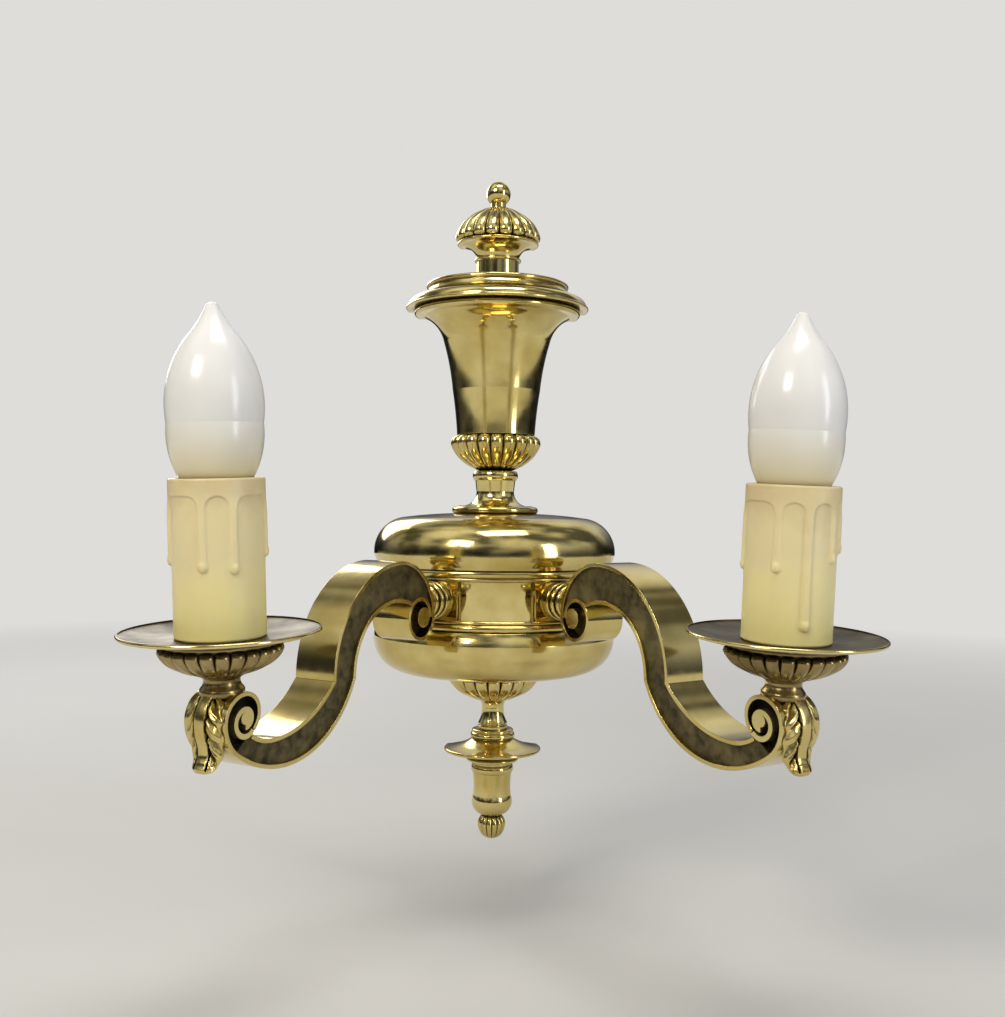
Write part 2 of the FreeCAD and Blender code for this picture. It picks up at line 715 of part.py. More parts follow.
# The roll's centre follows the boss, and the rest of the arm follows the roll.
ROLL_EDGE = BAND_RADIUS + BOSS_GAP + BAND_THICK / 2
SPIRAL_START = ROLL_EDGE + 2 * ROLL_TURN_RADIUS - 2 * ROLL_INNER_RADIUS
ROLL_AXIS = SPIRAL_START + ROLL_INNER_RADIUS
CREST_R = ROLL_EDGE + SHOULDER_RADIUS
KNEE_R = CREST_R + ARCH_RADIUS
KNEE_Z = SHOULDER_RADIUS - ROLL_DROP - ARCH_RADIUS
INNER_RADIUS = ARCH_RADIUS - CREST_DEPTH
INNER_AXIS = KNEE_R - KNEE_DEPTH - INNER_RADIUS
INNER_START = math.radians(90.0 + INNER_LEAD)

arch = Bend(SPIRAL_START, -ROLL_DROP, 90.0)
arch.arc(ROLL_INNER_RADIUS, -HALF_TURN)
arch.arc(ROLL_TURN_RADIUS, -HALF_TURN)
arch.arc(SHOULDER_RADIUS, -90.0)
arch.arc(ARCH_RADIUS, -90.0)

inner = Bend(INNER_AXIS + INNER_RADIUS * math.cos(INNER_START),
             KNEE_Z + INNER_RADIUS * math.sin(INNER_START), INNER_LEAD)
inner.arc(INNER_RADIUS, -90.0 - INNER_LEAD)

toe_top = Bend(KNEE_R, KNEE_Z, -TOE_TOP_TURN)
toe_top.arc(TOE_TOP_RADIUS, TOE_TOP_TURN)
toe_top.arc(TOE_RISE_RADIUS, TOE_RISE_TURN)

toe_low = Bend(KNEE_R - KNEE_DEPTH, KNEE_Z, -TOE_LOW_TURN)
toe_low.arc(TOE_LOW_RADIUS, TOE_LOW_TURN + TOE_LOW_RISE)
for radius, turn in zip(SCROLL_RADII, SCROLL_TURNS):
    toe_low.arc(radius, turn)
toe_top.lead_in(SEAM_LEAD)
toe_low.lead_in(SEAM_LEAD)

SCROLL_SIDE = toe_low.arcs[2]
SCROLL_TOP_R = SCROLL_SIDE[0][0]
SCROLL_TOP_Z = SCROLL_SIDE[0][1] + SCROLL_SIDE[1] + BAND_THICK / 2
SCROLL_END_R = toe_low.r
SCROLL_END_Z = toe_low.z

curl = Bend(SCROLL_END_R + CURL_BACK, SCROLL_END_Z - CURL_DROP, -CURL_START_TURN)
curl.arc(CURL_RADIUS, CURL_START_TURN + HALF_TURN)
curl.arc(CURL_INNER_RADIUS, HALF_TURN)

SEAT_R = SCROLL_TOP_R + CANDLE_OFFSET
SEAT_Z = SCROLL_TOP_Z


def boss_nipple_bar(radius, low, high):
    """A bar along the arm at the height of the boss nipple."""
    return Part.makeCylinder(radius, high - low, FreeCAD.Vector(low, 0, NIPPLE_RISE), FreeCAD.Vector(1, 0, 0))


def boss_nipple_hole():
    return boss_nipple_bar(NIPPLE_RADIUS, BAND_RADIUS, ROLL_AXIS - NIPPLE_HOLE_MARGIN)


def roll_core():
    """Everything inside the rolled end's outer surface."""
    top = round_bar(ROLL_AXIS, -ROLL_DROP, ROLL_INNER_RADIUS + BAND_THICK / 2)
    low = round_bar(ROLL_EDGE + ROLL_TURN_RADIUS, -ROLL_DROP, ROLL_TURN_RADIUS + BAND_THICK / 2)
    reach = 2 * ROLL_TURN_RADIUS
    half = Part.makeBox(2 * reach, ARM_WIDTH, reach, FreeCAD.Vector(ROLL_AXIS - reach, -ARM_WIDTH / 2, -ROLL_DROP))
    return top.common(half).fuse(low.cut(half))


def arch_band():
    """Outer strip of the arch, rolled under at the body end round a domed eye."""
    eye_r = SPIRAL_START + BAND_THICK / 2 + ROLL_EYE_RADIUS - ROLL_EYE_SINK
    face = ARM_WIDTH / 2 - ROLL_EYE_RECESS
    root = ARM_WIDTH / 2 - WEB_RECESS - CHEEK_THICK / 2
    eyes = []
    for low, high in ((-face, -root), (root, face)):
        eyes.append(round_bar(eye_r, -ROLL_DROP, ROLL_EYE_RADIUS, low, high))
    floors = []
    for low in (-ARM_WIDTH / 2 + WEB_RECESS, ARM_WIDTH / 2 - WEB_RECESS - CHEEK_THICK):
        floors.append(round_bar(ROLL_AXIS, -ROLL_DROP, ROLL_INNER_RADIUS, low, low + CHEEK_THICK))
    band = strip(arch)
    for part in eyes + floors:
        band = band.fuse(part)
    return band.removeSplitter().cut(boss_nipple_hole())


def inner_band():
    return strip(inner).cut(roll_core())


def below_seam(shape):
    """Cut a toe piece flat where the arch stands on it."""
    box = Part.makeBox(ARM_WIDTH, 2 * ARM_WIDTH, ARM_WIDTH)
    box = box.translated(FreeCAD.Vector(KNEE_R - KNEE_DEPTH - 2 * BAND_THICK, -ARM_WIDTH, KNEE_Z))
    return shape.cut(box)


def toe_band():
    """Upper strip of the toe, from the seam to the end volute."""
    return below_seam(strip(toe_top)).cut(strip(toe_low))


def candle_frame(shape):
    """Place a candle piece, drawn upright from its seat, on the arm with its lean."""
    shape = shape.copy()
    shape.rotate(CENTRE, FreeCAD.Vector(0, 1, 0), CANDLE_LEAN)
    return shape.translated(FreeCAD.Vector(SEAT_R, 0, SEAT_Z))


def candle_nipple_hole():
    return candle_frame(bar(NIPPLE_RADIUS, -CANDLE_HOLE_DEPTH, FOOT_HEIGHT))


def toe_outer_band():
    """Lower strip of the toe, rolled up and over round the end volute."""
    return below_seam(strip(toe_low)).cut(candle_nipple_hole())


def between(first, second):
    """Face between two lines that start and end near each other."""
    ahead = first.edges(0)
    back = second.edges(0)
    cap = Part.makeLine(ahead[-1].lastVertex(True).Point, back[-1].lastVertex(True).Point)
    foot = Part.makeLine(back[0].firstVertex(True).Point, ahead[0].firstVertex(True).Point)
    return Part.Face(Part.Wire(Part.__sortEdges__(ahead + [cap] + back + [foot])))


def arch_cheeks():
    outer = Bend(ROLL_EDGE, -ROLL_DROP, 90.0)
    outer.arc(SHOULDER_RADIUS, -90.0)
    outer.arc(ARCH_RADIUS, -90.0)
    plates = both_sides(between(outer, inner), CHEEK_RECESS, CHEEK_THICK)
    return plates.cut(strip(arch)).cut(strip(inner)).cut(roll_core()).cut(boss_nipple_hole())


def toe_cheeks():
    """Side panels of the toe, and the end volute's two deeper floors with their curls."""
    low = Bend(KNEE_R - KNEE_DEPTH, KNEE_Z, -TOE_LOW_TURN)
    low.arc(TOE_LOW_RADIUS, TOE_LOW_TURN + TOE_LOW_RISE)
    low.lead_in(SEAM_LEAD)
    plates = both_sides(between(toe_top, low), CHEEK_RECESS, CHEEK_THICK)
    ring = Bend(low.r, low.z, low.heading)
    for radius, turn in zip(SCROLL_RADII, SCROLL_TURNS):
        ring.arc(radius, turn)
    edges = ring.edges(0)
    edges.append(Part.makeLine(edges[-1].lastVertex(True).Point, edges[0].firstVertex(True).Point))
    floor = Part.Face(Part.Wire(Part.__sortEdges__(edges)))
    plates = plates.fuse(both_sides(floor, WEB_RECESS, CHEEK_THICK))
    eye = curl.arcs[1][0]
    plates = plates.fuse(both_sides(curl.ribbon(CURL_THICK), 0.0, WEB_RECESS))
    far = ARM_WIDTH / 2
    for low_side in (-far, far - WEB_RECESS):
        plates = plates.fuse(round_bar(eye[0], eye[1], CURL_EYE_RADIUS, low_side, low_side + WEB_RECESS))
    plates = below_seam(plates).cut(strip(toe_top)).cut(strip(toe_low))
    return plates.cut(candle_nipple_hole()).removeSplitter()


def boss():
    """Turned boss of rings and grooves between the waist band and the arm."""
    start = BAND_RADIUS - WALL
    end = CREST_R
    outline = Outline(0, start)
    outline.line(BOSS_RADIUS, start)
    z = BAND_RADIUS + BOSS_FLANGE
    outline.line(BOSS_RADIUS, z - BOSS_EDGE)
    outline.bow(BOSS_RADIUS - BOSS_EDGE, z, 0.283)
    for ring_radius in (BOSS_RING_RADIUS, BOSS_STEP_RADIUS):
        outline.line(ring_radius - BOSS_GROOVE_DEPTH, z)
        z += BOSS_GROOVE
        outline.line(ring_radius - BOSS_GROOVE_DEPTH, z)
        outline.line(ring_radius - BOSS_RING_BULGE, z)
        z += BOSS_RING
        outline.bead(z, BOSS_RING_BULGE)
    outline.line(BOSS_NECK_RADIUS, z)
    outline.line(BOSS_NECK_RADIUS, end)
    outline.line(0, end)
    shape = turned(outline)
    shape.rotate(CENTRE, FreeCAD.Vector(0, 1, 0), 90)
    shoulder = round_bar(CREST_R, -ROLL_DROP, SHOULDER_RADIUS + BAND_THICK / 2)
    rolled = round_bar(ROLL_EDGE + ROLL_TURN_RADIUS, -ROLL_DROP, ROLL_TURN_RADIUS + BAND_THICK / 2)
    shape = shape.cut(shoulder).cut(rolled)
    shape = shape.cut(bar(BAND_RADIUS, -2 * BOSS_RADIUS, 2 * BOSS_RADIUS))
    shape = shape.cut(boss_nipple_bar(NIPPLE_RADIUS, start, end))
    return max(shape.Solids, key=lambda solid: solid.Volume)


LOCKNUT_BACK = BAND_RADIUS - WALL - WASHER_DEPTH
NIPPLE_INNER = LOCKNUT_BACK - LOCKNUT_THICK - NIPPLE_END
NIPPLE_OUTER = CREST_R - math.sqrt(SHOULDER_RADIUS ** 2 - (NIPPLE_RISE + ROLL_DROP) ** 2) + BAND_THICK


def boss_nipple():
    return boss_nipple_bar(NIPPLE_RADIUS, NIPPLE_INNER, NIPPLE_OUTER).cut(
        boss_nipple_bar(NIPPLE_BORE, NIPPLE_INNER, NIPPLE_OUTER))


def locknut():
    """Nut with a washer that takes up the curve of the waist band's inside."""
    nut = hexagon(LOCKNUT_FLATS, 0, LOCKNUT_THICK)
    nut.rotate(CENTRE, FreeCAD.Vector(0, 1, 0), 90)
    nut = nut.translated(FreeCAD.Vector(LOCKNUT_BACK - LOCKNUT_THICK, 0, NIPPLE_RISE))
    washer = boss_nipple_bar(LOCKNUT_FLATS / 2, LOCKNUT_BACK, BAND_RADIUS)
    washer = washer.common(bar(BAND_RADIUS - WALL, -BAND_TOP, BAND_TOP))
    return nut.fuse(washer).cut(boss_nipple_bar(NIPPLE_RADIUS, NIPPLE_INNER - 1, BAND_RADIUS))


def leaf():
    """Leaf laid over the scroll's far side, with a raised rib and a flared tip."""
    centre, radius = toe_low.arcs[2][:2]
    proud = (BAND_THICK + LEAF_THICK) / 2
    lay = radius + proud
    top = math.radians(LEAF_TOP_ANGLE)
    line = Bend(centre[0] + lay * math.cos(top), centre[1] + lay * math.sin(top), LEAF_TOP_ANGLE - 90.0)
    line.arc(lay, -LEAF_TOP_ANGLE)
    line.arc(toe_low.arcs[1][1] + proud, -LEAF_TUCK)
    line.arc(LEAF_TAIL, LEAF_TUCK)
    line.arc(LEAF_FLARE_RADIUS, LEAF_FLARE_TURN)
    blade = across(line.ribbon(LEAF_THICK), -LEAF_HALF_WIDTH, LEAF_HALF_WIDTH)
    box = blade.BoundBox
    belly = box.ZMin + 0.55 * box.ZLength
    shape = Outline(-LEAF_TOP_HALF_WIDTH, box.ZMax + 1)
    shape.bow(-LEAF_HALF_WIDTH, belly, 0.083)
    shape.bow(-LEAF_TIP_HALF_WIDTH, box.ZMin - 1, 0.057)
    shape.line(LEAF_TIP_HALF_WIDTH, box.ZMin - 1)
    shape.bow(LEAF_HALF_WIDTH, belly, 0.057)
    shape.bow(LEAF_TOP_HALF_WIDTH, box.ZMax + 1, 0.083)
    mask = shape.face()
    mask.rotate(CENTRE, UP, 90)
    mask = mask.translated(FreeCAD.Vector(box.XMin - 1, 0, 0)).extrude(FreeCAD.Vector(box.XLength + 2, 0, 0))
    blade = blade.common(mask)
    rib = across(line.ribbon(LEAF_THICK + 2 * LEAF_RIB_PROUD), -LEAF_RIB_HALF_WIDTH, LEAF_RIB_HALF_WIDTH)
    foot = candle_frame(bar(FOOT_RADIUS, -2 * FOOT_SKIRT, FOOT_HEIGHT))
    return blade.fuse(rib).cut(strip(toe_low)).cut(foot).removeSplitter()


# ---------------------------------------------------------------- candle, upright from its seat
DISH_TOP = FOOT_HEIGHT + DISH_RIB_HEIGHT + DISH_RIM_HEIGHT
PAN_TOP = DISH_TOP + PAN_THICK
HOLDER_BASE = PAN_TOP
SLEEVE_BASE = PAN_TOP + SLEEVE_GAP
SLEEVE_TOP = SLEEVE_BASE + SLEEVE_LENGTH
BULB_TOP = SLEEVE_TOP + BULB_ABOVE_SLEEVE
GLASS_BASE = SLEEVE_TOP - BULB_NECK_DEPTH
CAP_TOP = GLASS_BASE + BULB_CAP_LAP
BULB_CAP_BASE = CAP_TOP - BULB_CAP_HEIGHT
TIP_BASE = BULB_CAP_BASE - TIP_HEIGHT


def cup():
    """Foot, ribbed dish and plain rim under the drip pan."""
    foot = Outline(0, -FOOT_SKIRT)
    foot.line(FOOT_RADIUS, -FOOT_SKIRT)
    foot.line(FOOT_RADIUS, FOOT_EDGE)
    foot.bow(FOOT_WAIST_RADIUS, FOOT_HEIGHT - FOOT_LIP_HEIGHT, -0.099)
    foot.line(FOOT_WAIST_RADIUS + FOOT_LIP, FOOT_HEIGHT)
    foot.line(0, FOOT_HEIGHT)
    ribbed = FOOT_HEIGHT
    top = FOOT_HEIGHT + DISH_RIB_HEIGHT
    levels = (
        (ribbed, DISH_FOOT_RADIUS),
        (ribbed + DISH_RIB_HEIGHT * 0.18, DISH_RADIUS * 0.66),
        (ribbed + DISH_RIB_HEIGHT * 0.42, DISH_RADIUS * 0.87),
        (ribbed + DISH_RIB_HEIGHT * 0.70, DISH_RADIUS * 0.98),
        (ribbed + DISH_RIB_HEIGHT * 0.90, DISH_RADIUS),
        (top, DISH_RIM_RADIUS),
    )
    rim = Outline(0, top)
    rim.line(DISH_RIM_RADIUS - DISH_RIM_FLARE, top)
    rim.bow(DISH_RIM_RADIUS + DISH_RIM_FLARE, DISH_TOP, 0.214)
    rim.line(0, DISH_TOP)
    shape = turned(foot).fuse(gadroon(levels, DISH_RIBS)).fuse(turned(rim))
    return shape.cut(bar(NIPPLE_RADIUS, -FOOT_SKIRT - 1, DISH_TOP + 1))


def seated_cup():
    """The cup with its foot shaped to the top of the scroll."""
    shape = candle_frame(cup()).cut(strip(toe_low))
    return max(shape.Solids, key=lambda solid: solid.Volume)


def drip_pan():
    floor = DISH_TOP
    rise = floor + PAN_RISE
    edge = PAN_RADIUS - 2 * PAN_RIM_RADIUS
    outline = Outline(NIPPLE_RADIUS, floor)
    outline.line(PAN_FLOOR_RADIUS, floor)
    outline.bow(edge, rise, 0.03)
    outline.bead(rise + PAN_LIP_HEIGHT, PAN_RIM_RADIUS)
    outline.line(edge, rise + PAN_THICK)
    outline.bow(PAN_FLOOR_RADIUS, floor + PAN_THICK, -0.03)
    outline.line(NIPPLE_RADIUS, floor + PAN_THICK)
    return turned(outline)


def candle_nipple():
    top = HOLDER_BASE + HOLDER_FLOOR - HOLDER_SEAT
    bore = bar(NIPPLE_BORE, -CANDLE_NIPPLE_DEPTH - 1, top + 1)
    return bar(NIPPLE_RADIUS, -CANDLE_NIPPLE_DEPTH, top).cut(bore)


def holder_body():
    """Tube-shaped lampholder that stands on the pan inside the sleeve."""
    floor = HOLDER_BASE + HOLDER_FLOOR
    shape = bar(HOLDER_RADIUS, HOLDER_BASE, HOLDER_BASE + HOLDER_HEIGHT)
    shape = shape.cut(bar(HOLDER_BORE, floor, HOLDER_BASE + HOLDER_HEIGHT))
    shape = shape.cut(bar(NIPPLE_RADIUS, HOLDER_BASE, floor - HOLDER_SEAT))
    return shape.cut(bar(NIPPLE_BORE, HOLDER_BASE, floor - HOLDER_WEB))


def holder_insert():
    """Insulating insert that carries the threaded shell."""
    floor = TIP_BASE - CONTACT_HEIGHT
    high = BULB_CAP_BASE + INSERT_HEIGHT
    shape = bar(INSERT_RADIUS, floor - INSERT_FLOOR, high)
    shape = shape.cut(bar(THREAD_RADIUS + THREAD_CLEARANCE, TIP_BASE, high))
    return shape.cut(bar(CONTACT_RADIUS, floor, high))


def holder_contact():
    top = TIP_BASE - TIP_GAP
    return bar(CONTACT_RADIUS - CONTACT_PLAY, top - CONTACT_HEIGHT + 2 * CONTACT_PLAY, top)


def drip(angle, length):
    """One run of wax down the sleeve with a bead at its end."""
    reach = SLEEVE_RADIUS - DRIP_PROUD
    run = Part.makeCylinder(DRIP_RADIUS, length, FreeCAD.Vector(reach, 0, SLEEVE_TOP - length), UP)
    bead = Part.makeSphere(DRIP_BEAD_RADIUS, FreeCAD.Vector(reach, 0, SLEEVE_TOP - length))
    shape = run.fuse(bead)
    shape.rotate(CENTRE, UP, angle)
    return shape


def sleeve():
    """Candle sleeve with moulded wax drips."""
    shape = bar(SLEEVE_RADIUS, SLEEVE_BASE, SLEEVE_TOP)
    for k, length in enumerate(DRIP_LENGTHS):
        shape = shape.fuse(drip(k * 360.0 / len(DRIP_LENGTHS), length))
    return shape.cut(bar(SLEEVE_BORE, SLEEVE_BASE - 1, SLEEVE_TOP + 1)).removeSplitter()


def bulb_outline(inset):
    """Half section of the bulb's glass; inset draws the space inside it."""
    outline = Outline(0, GLASS_BASE)
    outline.line(BULB_NECK_RADIUS - inset, GLASS_BASE)
    outline.line(BULB_NECK_RADIUS - inset, GLASS_BASE + BULB_NECK_HEIGHT)
    outline.bow(BULB_MOUTH_RADIUS - inset, SLEEVE_TOP, -0.085)
    outline.bow(BULB_RADIUS - inset, SLEEVE_TOP + BULB_BELLY_HEIGHT, 0.0735)
    outline.bow(BULB_SHOULDER_RADIUS - inset, BULB_TOP - BULB_SHOULDER_DROP, 0.103)
    outline.bow(BULB_TIP_RADIUS - inset, BULB_TOP - BULB_TIP_HEIGHT - inset, -0.038)
    outline.crown(BULB_TOP - inset)
    return outline


def bulb_glass():
    return turned(bulb_outline(0)).cut(turned(bulb_outline(GLASS_WALL)))


def bulb_cap():
    """Metal cap that screws into the holder."""
    shape = bar(THREAD_RADIUS, BULB_CAP_BASE, CAP_TOP)
    return shape.cut(bar(BULB_NECK_RADIUS, GLASS_BASE, CAP_TOP))


def bulb_tip():
    return bar(TIP_RADIUS, TIP_BASE, BULB_CAP_BASE - TIP_PLAY)


# ---------------------------------------------------------------- flex inside the arm
def biarc(line, r, z, heading):
    """Add two tangent arcs that bring the line to a point and heading."""
    start = (line.r, line.z)
    t0 = (math.cos(math.radians(line.heading)), math.sin(math.radians(line.heading)))
    t1 = (math.cos(math.radians(heading)), math.sin(math.radians(heading)))
    v = (r - start[0], z - start[1])
    t = (t0[0] + t1[0], t0[1] + t1[1])
    vt = v[0] * t[0] + v[1] * t[1]
    vv = v[0] ** 2 + v[1] ** 2
    dot = 1.0 - (t0[0] * t1[0] + t0[1] * t1[1])
    if abs(dot) < 1e-9:
        reach = vv / (2.0 * vt)
    else:
        reach = (-vt + math.sqrt(vt * vt + 2.0 * dot * vv)) / (2.0 * dot)
    joint = ((start[0] + r + reach * (t0[0] - t1[0])) / 2, (start[1] + z + reach * (t0[1] - t1[1])) / 2)
    for goal in (joint, (r, z)):
        chord = (goal[0] - line.r, goal[1] - line.z)
        turn = 2 * (math.degrees(math.atan2(chord[1], chord[0])) - line.heading)
        turn = (turn + 360.0) % 720.0 - 360.0
        if turn > HALF_TURN:
            turn -= 2 * HALF_TURN
        if turn < -HALF_TURN:
            turn += 2 * HALF_TURN
        length = math.hypot(*chord)
        line.arc(length / 2 / abs(math.sin(math.radians(turn / 2))), turn)
    return line


def flex():
    """Lead from the terminal block through the arm to the lampholder."""
    straight = NIPPLE_OUTER + FLEX_LEAD
    crest_z = KNEE_Z + (ARCH_RADIUS + INNER_RADIUS) / 2
    line = Bend(straight, NIPPLE_RISE, 0.0)
    biarc(line, CREST_R, crest_z, 0.0)
    biarc(line, KNEE_R - KNEE_DEPTH / 2, KNEE_Z, FLEX_KNEE_HEADING)
    low_r = toe_low.arcs[0][0][0] + FLEX_LOW_SHIFT
    low_z = toe_low.arcs[0][0][1] - TOE_LOW_RADIUS + FLEX_LOW_RISE
    biarc(line, low_r, low_z, 0.0)
    lean = math.radians(CANDLE_LEAN)
    entry_r = SEAT_R - FLEX_ENTRY * math.sin(lean)
    entry_z = SEAT_Z - FLEX_ENTRY * math.cos(lean)
    biarc(line, entry_r, entry_z, 90.0 - CANDLE_LEAN)
    end = HOLDER_BASE + HOLDER_FLOOR - FLEX_END
    last = point(SEAT_R + end * math.sin(lean), SEAT_Z + end * math.cos(lean))
    edges = [Part.makeLine(point(FLEX_START, NIPPLE_RISE), point(straight, NIPPLE_RISE))]
    edges += line.edges(0)
    edges.append(Part.makeLine(edges[-1].lastVertex(True).Point, last))
    path = Part.Wire(edges)
    print("flex radii", [round(arc[1], 1) for arc in line.arcs], "length", round(path.Length, 1))
    ring_edge = Part.makeCircle(FLEX_RADIUS, point(FLEX_START, NIPPLE_RISE), FreeCAD.Vector(1, 0, 0))
    lead = path.makePipeShell([Part.Wire(ring_edge)], True, False)
    print("flex volume share", round(lead.Volume / (math.pi * FLEX_RADIUS ** 2 * path.Length), 4))
    return lead


# ---------------------------------------------------------------- hidden fixings behind the body
def mounting_plate():
    """Steel plate on the wall with two ears folded forward, screw holes and a cable hole."""
    plate = Part.makeBox(PLATE_WIDTH, PLATE_THICK, PLATE_HEIGHT,
                         FreeCAD.Vector(-PLATE_WIDTH / 2, -PLATE_THICK, -PLATE_HEIGHT / 2))
    for x in (-PLATE_WIDTH / 2, PLATE_WIDTH / 2 - PLATE_THICK):
        ear = Part.makeBox(PLATE_THICK, EAR_DEPTH, EAR_HEIGHT,
                           FreeCAD.Vector(x, -EAR_DEPTH, -EAR_HEIGHT / 2))
        plate = plate.fuse(ear)
    holes = [(-CABLE_SIDE, -CABLE_DROP, CABLE_RADIUS)]
    for x in (-PLATE_SCREW_SPACING / 2, PLATE_SCREW_SPACING / 2):
        holes.append((x, 0, PLATE_SCREW_RADIUS))
    for x, z, radius in holes:
        plate = plate.cut(Part.makeCylinder(radius, 2 * PLATE_THICK, FreeCAD.Vector(x, -1.5 * PLATE_THICK, z),
                                            FreeCAD.Vector(0, 1, 0)))
    plate = plate.cut(side_bar(SIDE_SCREW_RADIUS, -PLATE_WIDTH, PLATE_WIDTH))
    return plate.removeSplitter()


def side_bar(radius, low, high):
    """A bar across the body at the side screws."""
    return Part.makeCylinder(radius, high - low, FreeCAD.Vector(low, -SIDE_SCREW_FROM_WALL, 0),
                             FreeCAD.Vector(1, 0, 0))


def side_screws():
    """Two slotted screws through the waist band into the plate's ears."""
    seat = math.sqrt(BAND_RADIUS ** 2 - (AXIS_FROM_WALL - SIDE_SCREW_FROM_WALL) ** 2)
    screws = []
    for side in (-1, 1):
        ends = sorted((side * (PLATE_WIDTH / 2 - PLATE_THICK - SIDE_SCREW_TIP), side * seat))
        shank = side_bar(SIDE_SCREW_RADIUS, ends[0], ends[1])
        ends = sorted((side * (seat - SIDE_SCREW_HEAD / 2), side * (seat + SIDE_SCREW_HEAD)))
        head = side_bar(SIDE_SCREW_HEAD_RADIUS, ends[0], ends[1])
        head = head.cut(bar(BAND_RADIUS, -BAND_TOP, BAND_TOP).translated(COLUMN))
        slot_length = 4 * SIDE_SCREW_HEAD_RADIUS
        corner = FreeCAD.Vector(side * (seat + SIDE_SCREW_HEAD) - SLOT_DEPTH,
                                -SIDE_SCREW_FROM_WALL - slot_length / 2, -SLOT_WIDTH / 2)
        slot = Part.makeBox(2 * SLOT_DEPTH, slot_length, SLOT_WIDTH, corner)
        screws.append(shank.fuse(head).cut(slot))
    return Part.makeCompound(screws)


def on_arm(shape, side):
    """Turn a piece drawn in the arm's plane to its place on the left or right."""
    shape = shape.copy()
    shape.rotate(CENTRE, UP, SIDES[side])
    return shape.translated(COLUMN)


def terminal_block():
    """Block snapped onto the tie rod from the front, with a way in for the lead of each arm."""
    front = AXIS_FROM_WALL + ROD_RADIUS + BLOCK_GAP
    low = NIPPLE_RISE - BLOCK_HEIGHT / 2
    block = Part.makeBox(BLOCK_WIDTH, BLOCK_DEPTH, BLOCK_HEIGHT,
                         FreeCAD.Vector(-BLOCK_WIDTH / 2, -front - BLOCK_DEPTH, low))
    clip_width = 2 * (ROD_RADIUS + BLOCK_GAP)
    clip = Part.makeBox(clip_width, front - AXIS_FROM_WALL + ROD_RADIUS / 2, BLOCK_HEIGHT,
                        FreeCAD.Vector(-clip_width / 2, -front, low))
    rod = bar(ROD_RADIUS, low, low + BLOCK_HEIGHT).translated(COLUMN)
    block = block.fuse(clip).cut(rod)
    for side in SIDES:
        block = block.cut(on_arm(boss_nipple_bar(FLEX_RADIUS, FLEX_START, BAND_RADIUS), side))
    for screw in block_screw_bars():
        block = block.cut(screw)
    return block.removeSplitter()


def block_screw_bars():
    front = AXIS_FROM_WALL + ROD_RADIUS + BLOCK_GAP
    top = NIPPLE_RISE + BLOCK_HEIGHT / 2
    bars = []
    for way in range(BLOCK_WAYS):
        x = (way - (BLOCK_WAYS - 1) / 2) * BLOCK_WIDTH / BLOCK_WAYS
        place = FreeCAD.Vector(x, -front - BLOCK_SCREW_INSET, top - BLOCK_SCREW_DEPTH)
        bars.append(Part.makeCylinder(BLOCK_SCREW_RADIUS, BLOCK_SCREW_DEPTH + BLOCK_SCREW_PROUD, place, UP))
    return bars


# ---------------------------------------------------------------- the whole light
def bored_band():
    band = waist_band().translated(COLUMN)
    for side in SIDES:
        band = band.cut(on_arm(boss_nipple_bar(NIPPLE_RADIUS, 0, 2 * BAND_RADIUS), side))
    band = band.cut(side_bar(SIDE_SCREW_RADIUS, -2 * BAND_RADIUS, 2 * BAND_RADIUS))
    return on_column(band.translated(COLUMN * -1), False)


upper_dome = dome().translated(UP * BAND_TOP)
lower_dome = upper_dome.mirror(CENTRE, UP)
column = {
    "top_ball": top_ball().translated(UP * BALL_BASE),
    "ribbed_cap": cap().translated(UP * CAP_BASE),
    "cap_spool": cap_spool().translated(UP * SPOOL_BASE),
    "urn_lid": urn_lid().translated(UP * LID_BASE),
    "urn_body": urn_body().translated(UP * URN_BASE),
    "urn_knop": knop().translated(UP * KNOP_BASE),
    "stem_spool": stem().translated(UP * DOME_TOP),
    "upper_dome": upper_dome,
    "lower_dome": lower_dome,
    "ribbed_bowl": bowl().translated(UP * BOWL_TOP),
    "drop_neck": drop_neck().translated(UP * NECK_TOP),
    "drop_saucer": saucer().translated(UP * SAUCER_TOP),
    "drop_cup": drop_cup().translated(UP * CUP_TOP),
    "drop_ball": drop_ball(),
}
threaded_on = ("top_ball", "drop_ball")
for name, shape in column.items():
    write(name, on_column(shape, name not in threaded_on))
write("waist_band", bored_band())
write("tie_rod", tie_rod())
write("tie_nuts", tie_nuts())
write("mounting_plate", mounting_plate())
write("side_screws", side_screws())
write("terminal_block", terminal_block())
write("terminal_screws", Part.makeCompound(block_screw_bars()))

arm = {
    "boss": boss(),
    "arch_band": arch_band(),
    "arch_inner_band": inner_band(),
    "arch_cheeks": arch_cheeks(),
    "toe_band": toe_band(),
    "toe_outer_band": toe_outer_band(),
    "toe_cheeks": toe_cheeks(),
    "leaf": leaf(),
    "ribbed_cup": seated_cup(),
    "drip_pan": candle_frame(drip_pan()),
    "holder_body": candle_frame(holder_body()),
    "holder_insert": candle_frame(holder_insert()),
    "holder_contact": candle_frame(holder_contact()),
    "candle_sleeve": candle_frame(sleeve()),
    "bulb_glass": candle_frame(bulb_glass()),
    "bulb_cap": candle_frame(bulb_cap()),
    "bulb_tip": candle_frame(bulb_tip()),
}
for name, shape in arm.items():
    for side in SIDES:
        write(side + "_" + name, on_arm(shape, side))

shared = {
    "boss_nipples": boss_nipple(),
    "boss_locknuts": locknut(),
    "candle_nipples": candle_frame(candle_nipple()),
    "arm_flex": flex(),
}
for name, shape in shared.items():
    write(name, Part.makeCompound([on_arm(shape, side) for side in SIDES]))
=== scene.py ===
# %% [markdown]
# # A double arm wall sconce in polished brass
# The metalwork already exists as solids at its real size, so this script never moves or resizes it.
# What is left is the look: how each surface was finished, the carved and moulded pieces that need more
# shape than a solid gives, and the light that shows them. The first lines load the solids as a frame,
# and everything that follows is measured from it, in metres.

